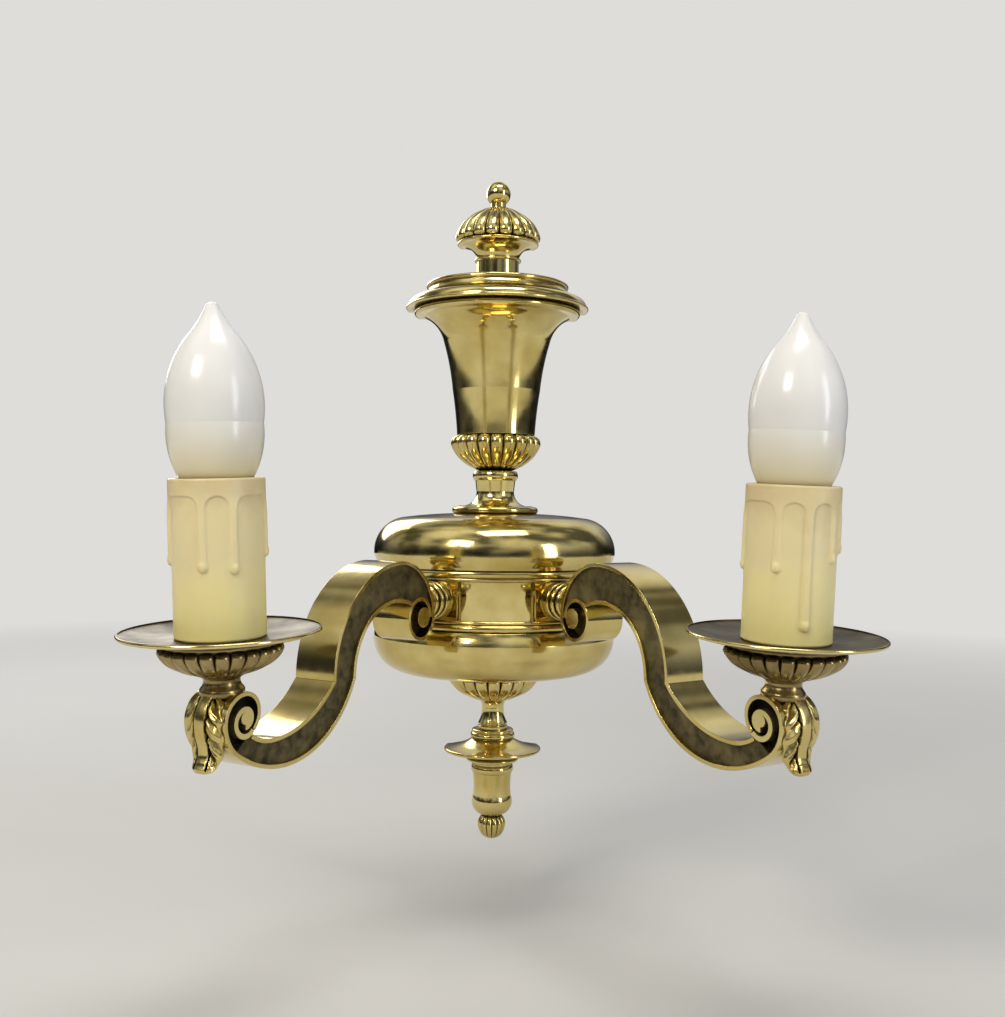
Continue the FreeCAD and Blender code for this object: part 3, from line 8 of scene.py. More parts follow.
# %% Load the frame
import json
import math
import bmesh
import bpy
import numpy as np
from mathutils import Matrix, Vector


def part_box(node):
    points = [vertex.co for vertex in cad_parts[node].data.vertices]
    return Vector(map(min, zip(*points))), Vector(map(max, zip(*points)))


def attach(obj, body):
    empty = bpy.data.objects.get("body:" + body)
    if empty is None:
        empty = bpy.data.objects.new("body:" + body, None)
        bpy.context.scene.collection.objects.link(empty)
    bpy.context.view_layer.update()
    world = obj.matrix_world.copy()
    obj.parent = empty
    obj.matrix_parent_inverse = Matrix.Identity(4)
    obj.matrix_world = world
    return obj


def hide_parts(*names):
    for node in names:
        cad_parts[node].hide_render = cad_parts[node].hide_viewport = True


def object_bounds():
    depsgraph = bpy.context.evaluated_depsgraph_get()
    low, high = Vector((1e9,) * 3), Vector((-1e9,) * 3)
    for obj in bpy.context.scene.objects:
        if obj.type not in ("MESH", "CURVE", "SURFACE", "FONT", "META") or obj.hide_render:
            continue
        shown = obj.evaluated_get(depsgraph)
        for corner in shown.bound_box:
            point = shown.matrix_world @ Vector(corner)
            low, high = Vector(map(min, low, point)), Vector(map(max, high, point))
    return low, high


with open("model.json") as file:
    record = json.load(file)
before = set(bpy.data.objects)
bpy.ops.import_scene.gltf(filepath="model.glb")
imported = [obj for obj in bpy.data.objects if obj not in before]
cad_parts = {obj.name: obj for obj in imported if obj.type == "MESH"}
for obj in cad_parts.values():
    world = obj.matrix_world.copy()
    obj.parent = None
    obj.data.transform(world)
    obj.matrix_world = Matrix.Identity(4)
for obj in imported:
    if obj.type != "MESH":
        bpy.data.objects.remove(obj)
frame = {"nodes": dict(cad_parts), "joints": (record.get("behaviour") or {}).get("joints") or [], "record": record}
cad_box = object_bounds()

MM = 0.001
nodes = frame["nodes"]

# %% [markdown]
# ## Where things are
# The two candles screw round axes that lean outward a little. Their joints say where each axis stands
# and which way it leans, so an arm's own directions come from them: `out` runs from the column to the
# candle, `front` is square to it on the side that a person in front sees, and `up` is the candle's axis.

# %% Read the column's axis and the arms' directions
joints = {joint["name"]: joint for joint in frame["joints"]}
rod_low, rod_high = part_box("tie_rod")
COLUMN = Vector(((rod_low.x + rod_high.x) / 2, (rod_low.y + rod_high.y) / 2, 0.0))
SIDES = ("left", "right")


def arm_axes(side):
    """Seat of the candle, and the arm's directions out, front and up."""
    joint = joints[side + "_bulb_turn"]
    up = Vector(joint["axis"])
    out = Vector((up.x, up.y, 0.0)).normalized()
    front = Vector((-out.y, out.x, 0.0))
    if front.y > 0:
        front.negate()
    return Vector(joint["pos_m"]), out, front, up


ARMS = {side: arm_axes(side) for side in SIDES}
for side, (seat, out, front, up) in ARMS.items():
    print(side, "seat", [round(v, 4) for v in seat], "out", [round(v, 3) for v in out])


def arm_matrix(side):
    """From the arm's own coordinates (along, across to the front, up) to the frame's."""
    out, front = ARMS[side][1:3]
    columns = (out, front, Vector((0, 0, 1)))
    turn = Matrix([[c[row] for c in columns] for row in range(3)]).to_4x4()
    return Matrix.Translation(COLUMN) @ turn


def candle_matrix(side):
    """From a candle's own upright coordinates to the frame's, with its seat at the origin."""
    seat, out, front, up = ARMS[side]
    along = (out - up * out.dot(up)).normalized()
    columns = (along, front, up)
    turn = Matrix([[c[row] for c in columns] for row in range(3)]).to_4x4()
    return Matrix.Translation(seat) @ turn


# %% [markdown]
# ## Camera
# The photograph was taken from half a metre or so, level with the candles and a little to the left of
# the column. A near camera makes the candles, which stand out from the wall, look larger than the
# column behind them, so the distance matters as much as the angle. The place and the focal length
# below bring the ball, the drop and both bulb tips onto their places in the picture.

# %% Place the camera
CAMERA_PLACE = Vector((-0.0159, -0.6038, 0.0440))
CAMERA_TURN = math.radians(1.9)      # towards the right of straight ahead
CAMERA_ROLL = math.radians(0.65)
FOCAL_LENGTH = 40.7

camera_data = bpy.data.cameras.new("camera")
camera_data.sensor_width = 36.0
camera_data.lens = FOCAL_LENGTH
camera_data.clip_start = 0.01
camera = bpy.data.objects.new("camera", camera_data)
bpy.context.scene.collection.objects.link(camera)
camera.location = CAMERA_PLACE
look = Vector((math.sin(CAMERA_TURN), math.cos(CAMERA_TURN), 0.0))
camera.rotation_mode = "QUATERNION"
camera.rotation_quaternion = (look.to_track_quat("-Z", "Y").to_matrix()
                              @ Matrix.Rotation(CAMERA_ROLL, 3, "Z")).to_quaternion()
bpy.context.scene.camera = camera
print("camera", round((COLUMN - CAMERA_PLACE).length, 3), "m from the column's axis")


# %% [markdown]
# ## Two small tools
# Finishes are node trees, so one function adds a node, sets it and links it. Colours are given
# as screen colours; a shader wants linear light, so one function turns a hex value into that.

# %% Node and colour helpers
def add(tree, kind, inputs=None, **settings):
    """Add a node. inputs maps a socket's name or number to a value or to another node's output."""
    node = tree.nodes.new(kind)
    for name, value in settings.items():
        setattr(node, name, value)
    for name, value in (inputs or {}).items():
        if isinstance(value, bpy.types.NodeSocket):
            tree.links.new(value, node.inputs[name])
        else:
            node.inputs[name].default_value = value
    return node


def linear(colour):
    """A screen colour such as "#D8BC62" as linear light with alpha."""
    channels = [int(colour[k:k + 2], 16) / 255 for k in (1, 3, 5)]
    return [c / 12.92 if c <= 0.04045 else ((c + 0.055) / 1.055) ** 2.4 for c in channels] + [1.0]


def new_material(name):
    """An empty node material with its surface shader and its object coordinates."""
    made = bpy.data.materials.new(name)
    made.use_nodes = True
    tree = made.node_tree
    tree.nodes.clear()
    shader = add(tree, "ShaderNodeBsdfPrincipled")
    add(tree, "ShaderNodeOutputMaterial", {"Surface": shader.outputs[0]})
    place = add(tree, "ShaderNodeTexCoord").outputs["Object"]
    return made, tree, shader, place


def mix(tree, factor, first, second):
    """Colour between two others by a factor."""
    node = add(tree, "ShaderNodeMix", data_type="RGBA", blend_type="MIX")
    for socket, value in ((0, factor), (6, first), (7, second)):
        if isinstance(value, bpy.types.NodeSocket):
            tree.links.new(value, node.inputs[socket])
        else:
            node.inputs[socket].default_value = value
    return node.outputs[2]


def grains(tree, place, size_mm, detail=3.0, stretch=(1, 1, 1), distortion=0.0):
    """Noise whose patches are about size_mm across."""
    moved = add(tree, "ShaderNodeMapping", {"Vector": place, "Scale": stretch})
    noise = add(tree, "ShaderNodeTexNoise", {"Vector": moved.outputs[0], "Scale": 1.0 / (size_mm * MM),
                                             "Detail": detail, "Distortion": distortion})
    return noise.outputs["Fac"]


def spread(tree, value, low, high, to_low=0.0, to_high=1.0):
    """Stretch a value's range from low..high to another, and clamp it."""
    node = add(tree, "ShaderNodeMapRange", {"Value": value, "From Min": low, "From Max": high,
                                            "To Min": to_low, "To Max": to_high})
    return node.outputs[0]


# %% [markdown]
# ## Brass
# All the brass here is one alloy, a yellow casting brass. What differs is how it was worked and how
# much of its age was polished off. Three things give the eye that story: turned and buffed faces are
# nearly mirrors with very faint marks; grooves, where no buff reaches, keep dark brown tarnish; and
# edges are rounded by years of polishing. The tarnish colour is laid wherever a point is closed in
# (ambient occlusion), so it is real tarnish in a piece's own grooves and painted shade under and
# between parts; the worn edge is a small bevel in the shading normal, so one recipe serves every
# piece and only its numbers change.

# %% Brass recipe
BRASS_BRIGHT = linear("#E2D08C")
BRASS_DEEP = linear("#C9B268")
# dark brown of tarnish in grooves, also laid as painted shade under and between parts
BRASS_TARNISH_AND_SHADE = linear("#2C2410")
EDGE_WEAR = 0.35        # radius of the worn edges, mm


def brass(name, bright=BRASS_BRIGHT, deep=BRASS_DEEP, tarnish_and_shade_colour=BRASS_TARNISH_AND_SHADE, recess_mm=5.0, tarnish_and_shade_strength=0.75,
          rough=(0.09, 0.17), dull=0.5, marks=0.05, marks_mm=0.7, side=None):
    """Brass polished where a buff reaches, tarnished in its grooves and painted with shade where parts close in."""
    made, tree, shader, place = new_material(name)
    clouds = spread(tree, grains(tree, place, 22.0, 4.0), 0.35, 0.65)
    # ambient occlusion: where a point is closed in, the tarnish colour goes on, real tarnish in grooves and painted
    # shade under and between parts
    open_sky = add(tree, "ShaderNodeAmbientOcclusion", {"Distance": recess_mm * MM}, samples=8).outputs["AO"]
    blotch = grains(tree, place, 3.0, 4.0)
    depth = add(tree, "ShaderNodeMath", {0: open_sky, 1: spread(tree, blotch, 0.3, 0.7, -0.08, 0.08)},
                operation="ADD").outputs[0]
    tarnish_and_shade = spread(tree, depth, 0.30, 0.80, tarnish_and_shade_strength, 0.0)
    if side:
        tarnish_and_shade = add(tree, "ShaderNodeMath", {0: tarnish_and_shade, 1: sunk_face(tree, place, side)},
                     operation="MAXIMUM").outputs[0]
    colour = mix(tree, clouds, bright, deep)
    tree.links.new(mix(tree, tarnish_and_shade, colour, tarnish_and_shade_colour), shader.inputs["Base Color"])
    shader.inputs["Metallic"].default_value = 1.0
    sheen = spread(tree, grains(tree, place, 9.0, 5.0), 0.3, 0.7, *rough)
    tree.links.new(mix_value(tree, tarnish_and_shade, sheen, dull), shader.inputs["Roughness"])
    lines = grains(tree, place, marks_mm, 2.0, stretch=(0.05, 0.05, 1.0))
    worn = add(tree, "ShaderNodeBevel", {"Radius": EDGE_WEAR * MM}, samples=4)
    bump = add(tree, "ShaderNodeBump", {"Strength": marks, "Distance": 0.02 * MM, "Height": lines,
                                        "Normal": worn.outputs[0]})
    tree.links.new(bump.outputs[0], shader.inputs["Normal"])
    return made


def mix_value(tree, factor, first, second):
    """Number between two others by a factor."""
    node = add(tree, "ShaderNodeMix", data_type="FLOAT")
    for socket, value in ((0, factor), (2, first), (3, second)):
        if isinstance(value, bpy.types.NodeSocket):
            tree.links.new(value, node.inputs[socket])
        else:
            node.inputs[socket].default_value = value
    return node.outputs[0]


def across_arm(tree, place, side):
    """How far a point lies from the middle plane of an arm, in mm."""
    moved = add(tree, "ShaderNodeVectorMath", {0: place, 1: COLUMN}, operation="SUBTRACT").outputs[0]
    aside = add(tree, "ShaderNodeVectorMath", {0: moved, 1: ARMS[side][2] / MM}, operation="DOT_PRODUCT")
    return add(tree, "ShaderNodeMath", {0: aside.outputs["Value"]}, operation="ABSOLUTE").outputs[0]


def sunk_face(tree, place, side):
    """1 on the flat floors that lie inside an arm's strips, 0 elsewhere."""
    normal = add(tree, "ShaderNodeNewGeometry").outputs["True Normal"]
    faces = add(tree, "ShaderNodeVectorMath", {0: normal, 1: ARMS[side][2]}, operation="DOT_PRODUCT")
    flat = add(tree, "ShaderNodeMath", {0: faces.outputs["Value"]}, operation="ABSOLUTE").outputs[0]
    inside = spread(tree, across_arm(tree, place, side), 7.0, 8.2, 0.95, 0.0)
    return add(tree, "ShaderNodeMath", {0: spread(tree, flat, 0.6, 0.8), 1: inside}, operation="MULTIPLY").outputs[0]


finishes = {
    "polished_brass": brass("polished_brass"),
    "mirror_brass": brass("mirror_brass", rough=(0.03, 0.06), marks=0.02),
    "ribbed_brass": brass("ribbed_brass", recess_mm=4.0, tarnish_and_shade_strength=0.95, rough=(0.14, 0.24)),
    "leaf_brass": brass("leaf_brass", recess_mm=2.5, tarnish_and_shade_strength=1.0, rough=(0.16, 0.28)),
}
for side in SIDES:
    finishes["strip_brass_" + side] = brass("strip_brass_" + side, side=side)
    finishes["ribbed_brass_" + side] = brass("ribbed_brass_" + side, linear("#B8A470"), linear("#7E6C42"),
                                             recess_mm=4.5, tarnish_and_shade_strength=1.0, rough=(0.20, 0.30))
print("brass finishes:", ", ".join(finishes))

# %% [markdown]
# ## As-cast side panels
# The panels inside the arms' rims were never polished: they keep the grain of the sand mould and a
# matte olive-brown tarnish. The end volute sits in the same casting: its floor lies deeper and is
# coloured near black, while its curl stands up to the rims and was rubbed bright with them. So how far
# a point lies from the arm's middle plane tells which of the three it is.

# %% Cast brass
CAST_DARK = linear("#3B3520")
CAST_MID = linear("#6A5F3C")
CAST_RUBBED = linear("#85784E")
CAST_BLACK = linear("#15110A")
SAND_GRAIN = 0.8        # mm; real sand is finer, this is as fine as the picture shows


def cast_brass(side):
    made, tree, shader, place = new_material("cast_brass_" + side)
    mottle = spread(tree, grains(tree, place, 4.0, 6.0, distortion=0.3), 0.32, 0.68)
    rubbed = spread(tree, grains(tree, place, 14.0, 3.0), 0.50, 0.75)
    panel = mix(tree, rubbed, mix(tree, mottle, CAST_DARK, CAST_MID), CAST_RUBBED)
    aside = across_arm(tree, place, side)
    # the volute's floor, nearer the arm's middle plane, is coloured near black
    floor = spread(tree, aside, 5.6, 7.6, 1.0, 0.0)
    face = spread(tree, aside, 9.0, 9.7)
    colour = mix(tree, face, mix(tree, floor, panel, CAST_BLACK), BRASS_BRIGHT)
    tree.links.new(colour, shader.inputs["Base Color"])
    tree.links.new(mix_value(tree, face, 0.6, 1.0), shader.inputs["Metallic"])
    matte = spread(tree, mottle, 0.0, 1.0, 0.72, 0.52)
    tree.links.new(mix_value(tree, face, matte, 0.2), shader.inputs["Roughness"])
    sand = grains(tree, place, SAND_GRAIN, 3.0)
    bump = add(tree, "ShaderNodeBump", {"Strength": spread(tree, face, 0.0, 1.0, 0.5, 0.05),
                                        "Distance": 0.2 * MM, "Height": sand})
    tree.links.new(bump.outputs[0], shader.inputs["Normal"])
    return made


for side in SIDES:
    finishes["cast_brass_" + side] = cast_brass(side)


# %% [markdown]
# ## Plain finishes
# Satin brass for the drip pans, zinc-plated steel for what is hidden, and the plastics, ceramic and
# nickel of the lampholders. Each has its own small variation in colour and gloss, as moulded and
# plated parts do.

# %% Plain finishes
def plain(name, first, second, patch_mm, rough, metallic=0.0, grain_mm=0.6, bump=0.1):
    """A moulded, plated or fired surface with a slight variation."""
    made, tree, shader, place = new_material(name)
    patches = spread(tree, grains(tree, place, patch_mm, 4.0), 0.35, 0.65)
    tree.links.new(mix(tree, patches, linear(first), linear(second)), shader.inputs["Base Color"])
    shader.inputs["Metallic"].default_value = metallic
    tree.links.new(spread(tree, patches, 0.0, 1.0, *rough), shader.inputs["Roughness"])
    fine = add(tree, "ShaderNodeBump", {"Strength": bump, "Distance": 0.05 * MM,
                                        "Height": grains(tree, place, grain_mm, 2.0)})
    tree.links.new(fine.outputs[0], shader.inputs["Normal"])
    return made


finishes["zinc_steel"] = plain("zinc_steel", "#A9ABA9", "#8F9296", 6.0, (0.30, 0.42), 1.0)
finishes["cap_nickel"] = plain("cap_nickel", "#BDBBB4", "#A6A49E", 4.0, (0.18, 0.30), 1.0)
finishes["holder_resin"] = plain("holder_resin", "#DDD9CC", "#D3CFC0", 8.0, (0.40, 0.50))
finishes["holder_ceramic"] = plain("holder_ceramic", "#E4E0D6", "#DAD5C9", 5.0, (0.50, 0.60))
finishes["terminal_plastic"] = plain("terminal_plastic", "#DAD8CC", "#D0CDBF", 6.0, (0.38, 0.46))
finishes["flex_sheath"] = plain("flex_sheath", "#CFC8B2", "#C4BCA4", 5.0, (0.40, 0.48))
print("finishes:", len(finishes))

# %% [markdown]
# ## Candles and drip pans
# Wax and opal glass let light in, so both change with height, and that light is painted into their
# colour: the sleeve is browner towards its top edge and painted with a brighter yellow glow towards
# its foot, and the bulb's foot is painted with a yellow light where it stands in the sleeve. The drip pans
# were turned on a lathe: fine rings round the candle's axis, dull inside, with a rim rubbed bright by
# hands. Distances from the candle's own seat and axis place all three.

# %% Candle finishes
SLEEVE_FOOT = 20.0      # heights above the candle's seat, mm
SLEEVE_TOP = 78.5
PAN_HEIGHT = 20.0
PAN_RIM = 36.6          # where the bright rim begins, from the axis
TURNED_LINES = 0.45     # distance between the lathe's rings


def height_above_seat(tree, place, side):
    """Height above the candle's seat along its axis, in mm."""
    seat, out, front, up = ARMS[side]
    moved = add(tree, "ShaderNodeVectorMath", {0: place, 1: seat}, operation="SUBTRACT").outputs[0]
    return add(tree, "ShaderNodeVectorMath", {0: moved, 1: up / MM}, operation="DOT_PRODUCT").outputs["Value"]


def wax_finish(side):
    made, tree, shader, place = new_material("wax_sleeve_" + side)
    height = height_above_seat(tree, place, side)
    cloud = spread(tree, grains(tree, place, 16.0, 3.0), 0.3, 0.7, -7.0, 7.0)
    level = add(tree, "ShaderNodeMath", {0: height, 1: cloud}, operation="ADD").outputs[0]
    # painted light: the wax is painted a brighter yellow glow towards the sleeve's foot, turning to ivory higher up
    painted_glow_to_ivory = mix(tree, spread(tree, level, SLEEVE_FOOT, SLEEVE_FOOT + 34.0), linear("#FBEC9C"), linear("#EADBA8"))
    colour = mix(tree, spread(tree, level, SLEEVE_TOP - 16.0, SLEEVE_TOP), painted_glow_to_ivory, linear("#D8C596"))
    tree.links.new(colour, shader.inputs["Base Color"])
    tree.links.new(spread(tree, grains(tree, place, 5.0, 4.0), 0.3, 0.7, 0.30, 0.42), shader.inputs["Roughness"])
    shader.inputs["Subsurface Weight"].default_value = 0.25
    shader.inputs["Subsurface Radius"].default_value = (1.0, 0.7, 0.3)
    shader.inputs["Subsurface Scale"].default_value = 3.0 * MM
    fine = add(tree, "ShaderNodeBump", {"Strength": 0.12, "Distance": 0.1 * MM, "Height": grains(tree, place, 2.5, 3.0)})
    tree.links.new(fine.outputs[0], shader.inputs["Normal"])
    return made


def opal_finish(side):
    made, tree, shader, place = new_material("opal_glass_" + side)
    level = spread(tree, height_above_seat(tree, place, side), SLEEVE_TOP - 3.0, SLEEVE_TOP + 22.0)
    white = mix(tree, grains(tree, place, 25.0, 2.0), linear("#EEECE7"), linear("#E8E6E0"))
    # painted light: the bulb's foot, where it stands in the sleeve, is painted with a yellow light that fades to white
    # higher up
    tree.links.new(mix(tree, level, linear("#DCCF9E"), white), shader.inputs["Base Color"])
    tree.links.new(spread(tree, grains(tree, place, 8.0, 3.0), 0.3, 0.7, 0.16, 0.24), shader.inputs["Roughness"])
    return made


def pan_finish(side):
    made, tree, shader, place = new_material("satin_brass_" + side)
    seat, out, front, up = ARMS[side]
    moved = add(tree, "ShaderNodeVectorMath", {0: place, 1: seat + up * PAN_HEIGHT * MM}, operation="SUBTRACT")
    aside = add(tree, "ShaderNodeVectorMath", {0: moved.outputs[0], 1: up}, operation="CROSS_PRODUCT")
    far = add(tree, "ShaderNodeVectorMath", {0: aside.outputs[0]}, operation="LENGTH").outputs["Value"]
    radius = add(tree, "ShaderNodeMath", {0: far, 1: 1.0 / MM}, operation="MULTIPLY").outputs[0]
    rim = spread(tree, radius, PAN_RIM, PAN_RIM + 0.5)
    patches = spread(tree, grains(tree, place, 12.0, 4.0), 0.35, 0.65)
    dull = mix(tree, patches, linear("#73674B"), linear("#584E3A"))
    tree.links.new(mix(tree, rim, dull, BRASS_BRIGHT), shader.inputs["Base Color"])
    shader.inputs["Metallic"].default_value = 1.0
    satin = spread(tree, patches, 0.0, 1.0, 0.40, 0.50)
    tree.links.new(mix_value(tree, rim, satin, 0.14), shader.inputs["Roughness"])
    ring = add(tree, "ShaderNodeCombineXYZ", {"X": radius}).outputs[0]
    rings = add(tree, "ShaderNodeTexNoise", {"Vector": ring, "Scale": 1.0 / TURNED_LINES, "Detail": 2.0}).outputs["Fac"]
    fine = add(tree, "ShaderNodeBump", {"Strength": 0.15, "Distance": 0.05 * MM, "Height": rings})
    tree.links.new(fine.outputs[0], shader.inputs["Normal"])
    return made


for side in SIDES:
    finishes["wax_sleeve_" + side] = wax_finish(side)
    finishes["opal_glass_" + side] = opal_finish(side)
    finishes["satin_brass_" + side] = pan_finish(side)

# %% Give every solid the finish of its slot
STRIPS = ("arch_band", "arch_inner_band", "toe_band", "toe_outer_band")
slots = {part["node"]: part["material_slot"] for part in frame["record"]["subparts"]}


def finish_of(node):
    """A node's finish: its slot's own, or the one made for its side."""
    side = node.split("_")[0]
    if node.endswith(STRIPS):
        return finishes["strip_brass_" + side]
    return finishes.get(slots[node] + "_" + side) or finishes[slots[node]]


for name, solid in nodes.items():
    solid.data.materials.clear()
    solid.data.materials.append(finish_of(name))
print("dressed", len(nodes), "solids")

# %% [markdown]
# ## From a mesh to a piece
# Every piece made here takes the place of a solid, so the same steps always follow: the mesh gets its
# finish, smooth shading and outward faces, and the object rides on the same body as the solid.

# %% Finished pieces
SLOT_BODIES = {name: body for body, members in frame["record"]["behaviour"]["bodies"].items() for name in members}


def piece(name, mesh, stands_for, sharp=40.0):
    """Make a mesh a finished piece that stands for a solid."""
    shape = bmesh.new()
    shape.from_mesh(mesh)
    bmesh.ops.remove_doubles(shape, verts=shape.verts, dist=0.002 * MM)
    bmesh.ops.recalc_face_normals(shape, faces=shape.faces)
    shape.to_mesh(mesh)
    shape.free()
    mesh.materials.clear()
    mesh.materials.append(finish_of(stands_for))
    mesh.shade_smooth()
    mesh.set_sharp_from_angle(angle=math.radians(sharp))
    made = bpy.data.objects.new(name, mesh)
    bpy.context.scene.collection.objects.link(made)
    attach(made, SLOT_BODIES[stands_for])
    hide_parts(stands_for)
    print(name, len(mesh.vertices), "vertices")
    return made


def grid_mesh(name, points, wrap=False):
    """A mesh through rows of points; wrap joins each row's end to its start."""
    rows, columns = points.shape[:2]
    index = np.arange(rows * columns).reshape(rows, columns)
    ahead = np.roll(index, -1, axis=1) if wrap else index[:, 1:]
    here = index if wrap else index[:, :-1]
    faces = np.stack([here[:-1], ahead[:-1], ahead[1:], here[1:]], axis=-1).reshape(-1, 4)
    mesh = bpy.data.meshes.new(name)
    mesh.from_pydata(points.reshape(-1, 3).tolist(), [], faces.tolist())
    return mesh


def cut_at_wall(mesh):
    """Slice off what lies behind the wall and close the cut."""
    shape = bmesh.new()
    shape.from_mesh(mesh)
    bmesh.ops.remove_doubles(shape, verts=shape.verts, dist=0.002 * MM)
    everything = shape.verts[:] + shape.edges[:] + shape.faces[:]
    cut = bmesh.ops.bisect_plane(shape, geom=everything, dist=0.001 * MM, plane_co=(0, 0, 0),
                                 plane_no=(0, 1, 0), clear_outer=True)
    edges = [item for item in cut["geom_cut"] if isinstance(item, bmesh.types.BMEdge)]
    bmesh.ops.edgenet_fill(shape, edges=edges)
    shape.to_mesh(mesh)
    shape.free()


# %% [markdown]
# ## Ribbed turnings
# The cap, the knop, the bowl, the drop's ball and the candle cups are gadrooned: full round ribs, side
# by side, that follow the turning's own outline. Carving them one by one would be slow and uneven.
# One rib is enough: a strip of faces follows the outline, bulges as a half round between two grooves,
# and Geometry Nodes sets it round the axis as often as the piece has ribs. The outline is a curve, so
# it stays easy to change, and the tree's inputs are the counts and how deep the grooves go.

# %% A node tree that sets ribs round an axis
def rib_tree():
    """Ribs round the Z axis along the outline curve that the modifier sits on."""
    tree = bpy.data.node_groups.new("ribs_round_axis", "GeometryNodeTree")
    face = tree.interface
    face.new_socket("Outline", in_out="INPUT", socket_type="NodeSocketGeometry")
    face.new_socket("Ribs", in_out="INPUT", socket_type="NodeSocketInt")
    face.new_socket("Steps", in_out="INPUT", socket_type="NodeSocketInt")
    face.new_socket("Rows", in_out="INPUT", socket_type="NodeSocketInt")
    face.new_socket("Depth", in_out="INPUT", socket_type="NodeSocketFloat")
    face.new_socket("Finish", in_out="INPUT", socket_type="NodeSocketMaterial")
    face.new_socket("Ribbed", in_out="OUTPUT", socket_type="NodeSocketGeometry")
    given = add(tree, "NodeGroupInput").outputs

    def number(operation, first, second=0.0):
        return add(tree, "ShaderNodeMath", {0: first, 1: second}, operation=operation).outputs[0]

    strip = add(tree, "GeometryNodeMeshGrid", {"Size X": 2.0, "Size Y": 1.0, "Vertices X": given["Steps"],
                                               "Vertices Y": given["Rows"]}).outputs["Mesh"]
    spot = add(tree, "ShaderNodeSeparateXYZ", {0: add(tree, "GeometryNodeInputPosition").outputs[0]}).outputs
    along = number("ADD", spot["Y"], 0.5)
    sweep = number("SINE", number("MULTIPLY", spot["X"], math.pi / 2))
    outline = add(tree, "GeometryNodeSampleCurve", {"Curves": given["Outline"], "Factor": along}, mode="FACTOR")
    there = add(tree, "ShaderNodeSeparateXYZ", {0: outline.outputs["Position"]}).outputs
    half_turn = number("DIVIDE", math.pi, given["Ribs"])
    half_width = number("MULTIPLY", there["X"], number("SINE", half_turn))
    inside = number("SQRT", number("SUBTRACT", 1.0, number("MULTIPLY", number("POWER", sweep, 2.0), 0.985)))
    fall = number("MULTIPLY", number("MULTIPLY", half_width, given["Depth"]), number("SUBTRACT", 1.0, inside))
    reach = number("SUBTRACT", there["X"], fall)
    turn = number("MULTIPLY", sweep, half_turn)
    placed = add(tree, "ShaderNodeCombineXYZ", {"X": number("MULTIPLY", reach, number("COSINE", turn)),
                                                "Y": number("MULTIPLY", reach, number("SINE", turn)),
                                                "Z": there["Z"]}).outputs[0]
    rib = add(tree, "GeometryNodeSetPosition", {"Geometry": strip, "Position": placed}).outputs[0]
    places = add(tree, "GeometryNodePoints", {"Count": given["Ribs"], "Position": (0.0, 0.0, 0.0)}).outputs[0]
    number_of = add(tree, "GeometryNodeInputIndex").outputs[0]
    step = number("MULTIPLY", number_of, number("MULTIPLY", half_turn, 2.0))
    facing = add(tree, "ShaderNodeCombineXYZ", {"Z": step}).outputs[0]
    set_round = add(tree, "GeometryNodeInstanceOnPoints", {"Points": places, "Instance": rib,
                                                           "Rotation": facing}).outputs[0]
    real = add(tree, "GeometryNodeRealizeInstances", {"Geometry": set_round}).outputs[0]
    joined = add(tree, "GeometryNodeMergeByDistance", {"Geometry": real, "Distance": 0.004 * MM}).outputs[0]
    done = add(tree, "GeometryNodeSetMaterial", {"Geometry": joined, "Material": given["Finish"]}).outputs[0]
    add(tree, "NodeGroupOutput", {0: done})
    return tree


RIB_TREE = rib_tree()


def outline_curve(name, points):
    """A curve through points given as (radius, height) in millimetres."""
    data = bpy.data.curves.new(name, "CURVE")
    data.dimensions = "3D"
    line = data.splines.new("POLY")
    line.points.add(len(points) - 1)
    for slot, (radius, height) in zip(line.points, points):
        slot.co = (radius * MM, 0.0, height * MM, 1.0)
    made = bpy.data.objects.new(name, data)
    bpy.context.scene.collection.objects.link(made)
    return made


def smooth_line(points, count=60):
    """A smooth line through a few (radius, height) points, by a cubic through each pair."""
    given = np.array(points, float)
    ends = np.vstack([2 * given[0] - given[1], given, 2 * given[-1] - given[-2]])
    line = []
    for k in range(1, len(ends) - 2):
        share = np.linspace(0, 1, count // (len(given) - 1), endpoint=False)[:, None]
        slope_in = (ends[k + 1] - ends[k - 1]) / 2
        slope_out = (ends[k + 2] - ends[k]) / 2
        line.extend((2 * share ** 3 - 3 * share ** 2 + 1) * ends[k] + (share ** 3 - 2 * share ** 2 + share) * slope_in
                    + (3 * share ** 2 - 2 * share ** 3) * ends[k + 1] + (share ** 3 - share ** 2) * slope_out)
    line.append(given[-1])
    return [tuple(spot) for spot in line]


def ribbed_mesh(name, outline, ribs, depth, finish, steps=15, rows=44):
    """Run the rib tree on an outline and keep its result as a plain mesh."""
    line = outline_curve(name + "_outline", outline)
    modifier = line.modifiers.new("ribs", "NODES")
    modifier.node_group = RIB_TREE
    inputs = {"Ribs": ribs, "Steps": steps, "Rows": rows, "Depth": depth, "Finish": finish}
    for socket in RIB_TREE.interface.items_tree:
        if socket.item_type == "SOCKET" and socket.in_out == "INPUT" and socket.name in inputs:
            modifier[socket.identifier] = inputs[socket.name]
    line.update_tag()
    seen = line.evaluated_get(bpy.context.evaluated_depsgraph_get())
    mesh = bpy.data.meshes.new_from_object(seen)
    mesh.name = name
    line.modifiers.clear()
    bpy.data.objects.remove(line)
    return mesh


# %% Cap, knop, bowl and ball on the column
RIB_DEPTH = 0.85        # 1 would make each rib a full half round


def on_column(mesh, height):
    mesh.transform(Matrix.Translation(COLUMN + Vector((0, 0, height))))
    cut_at_wall(mesh)


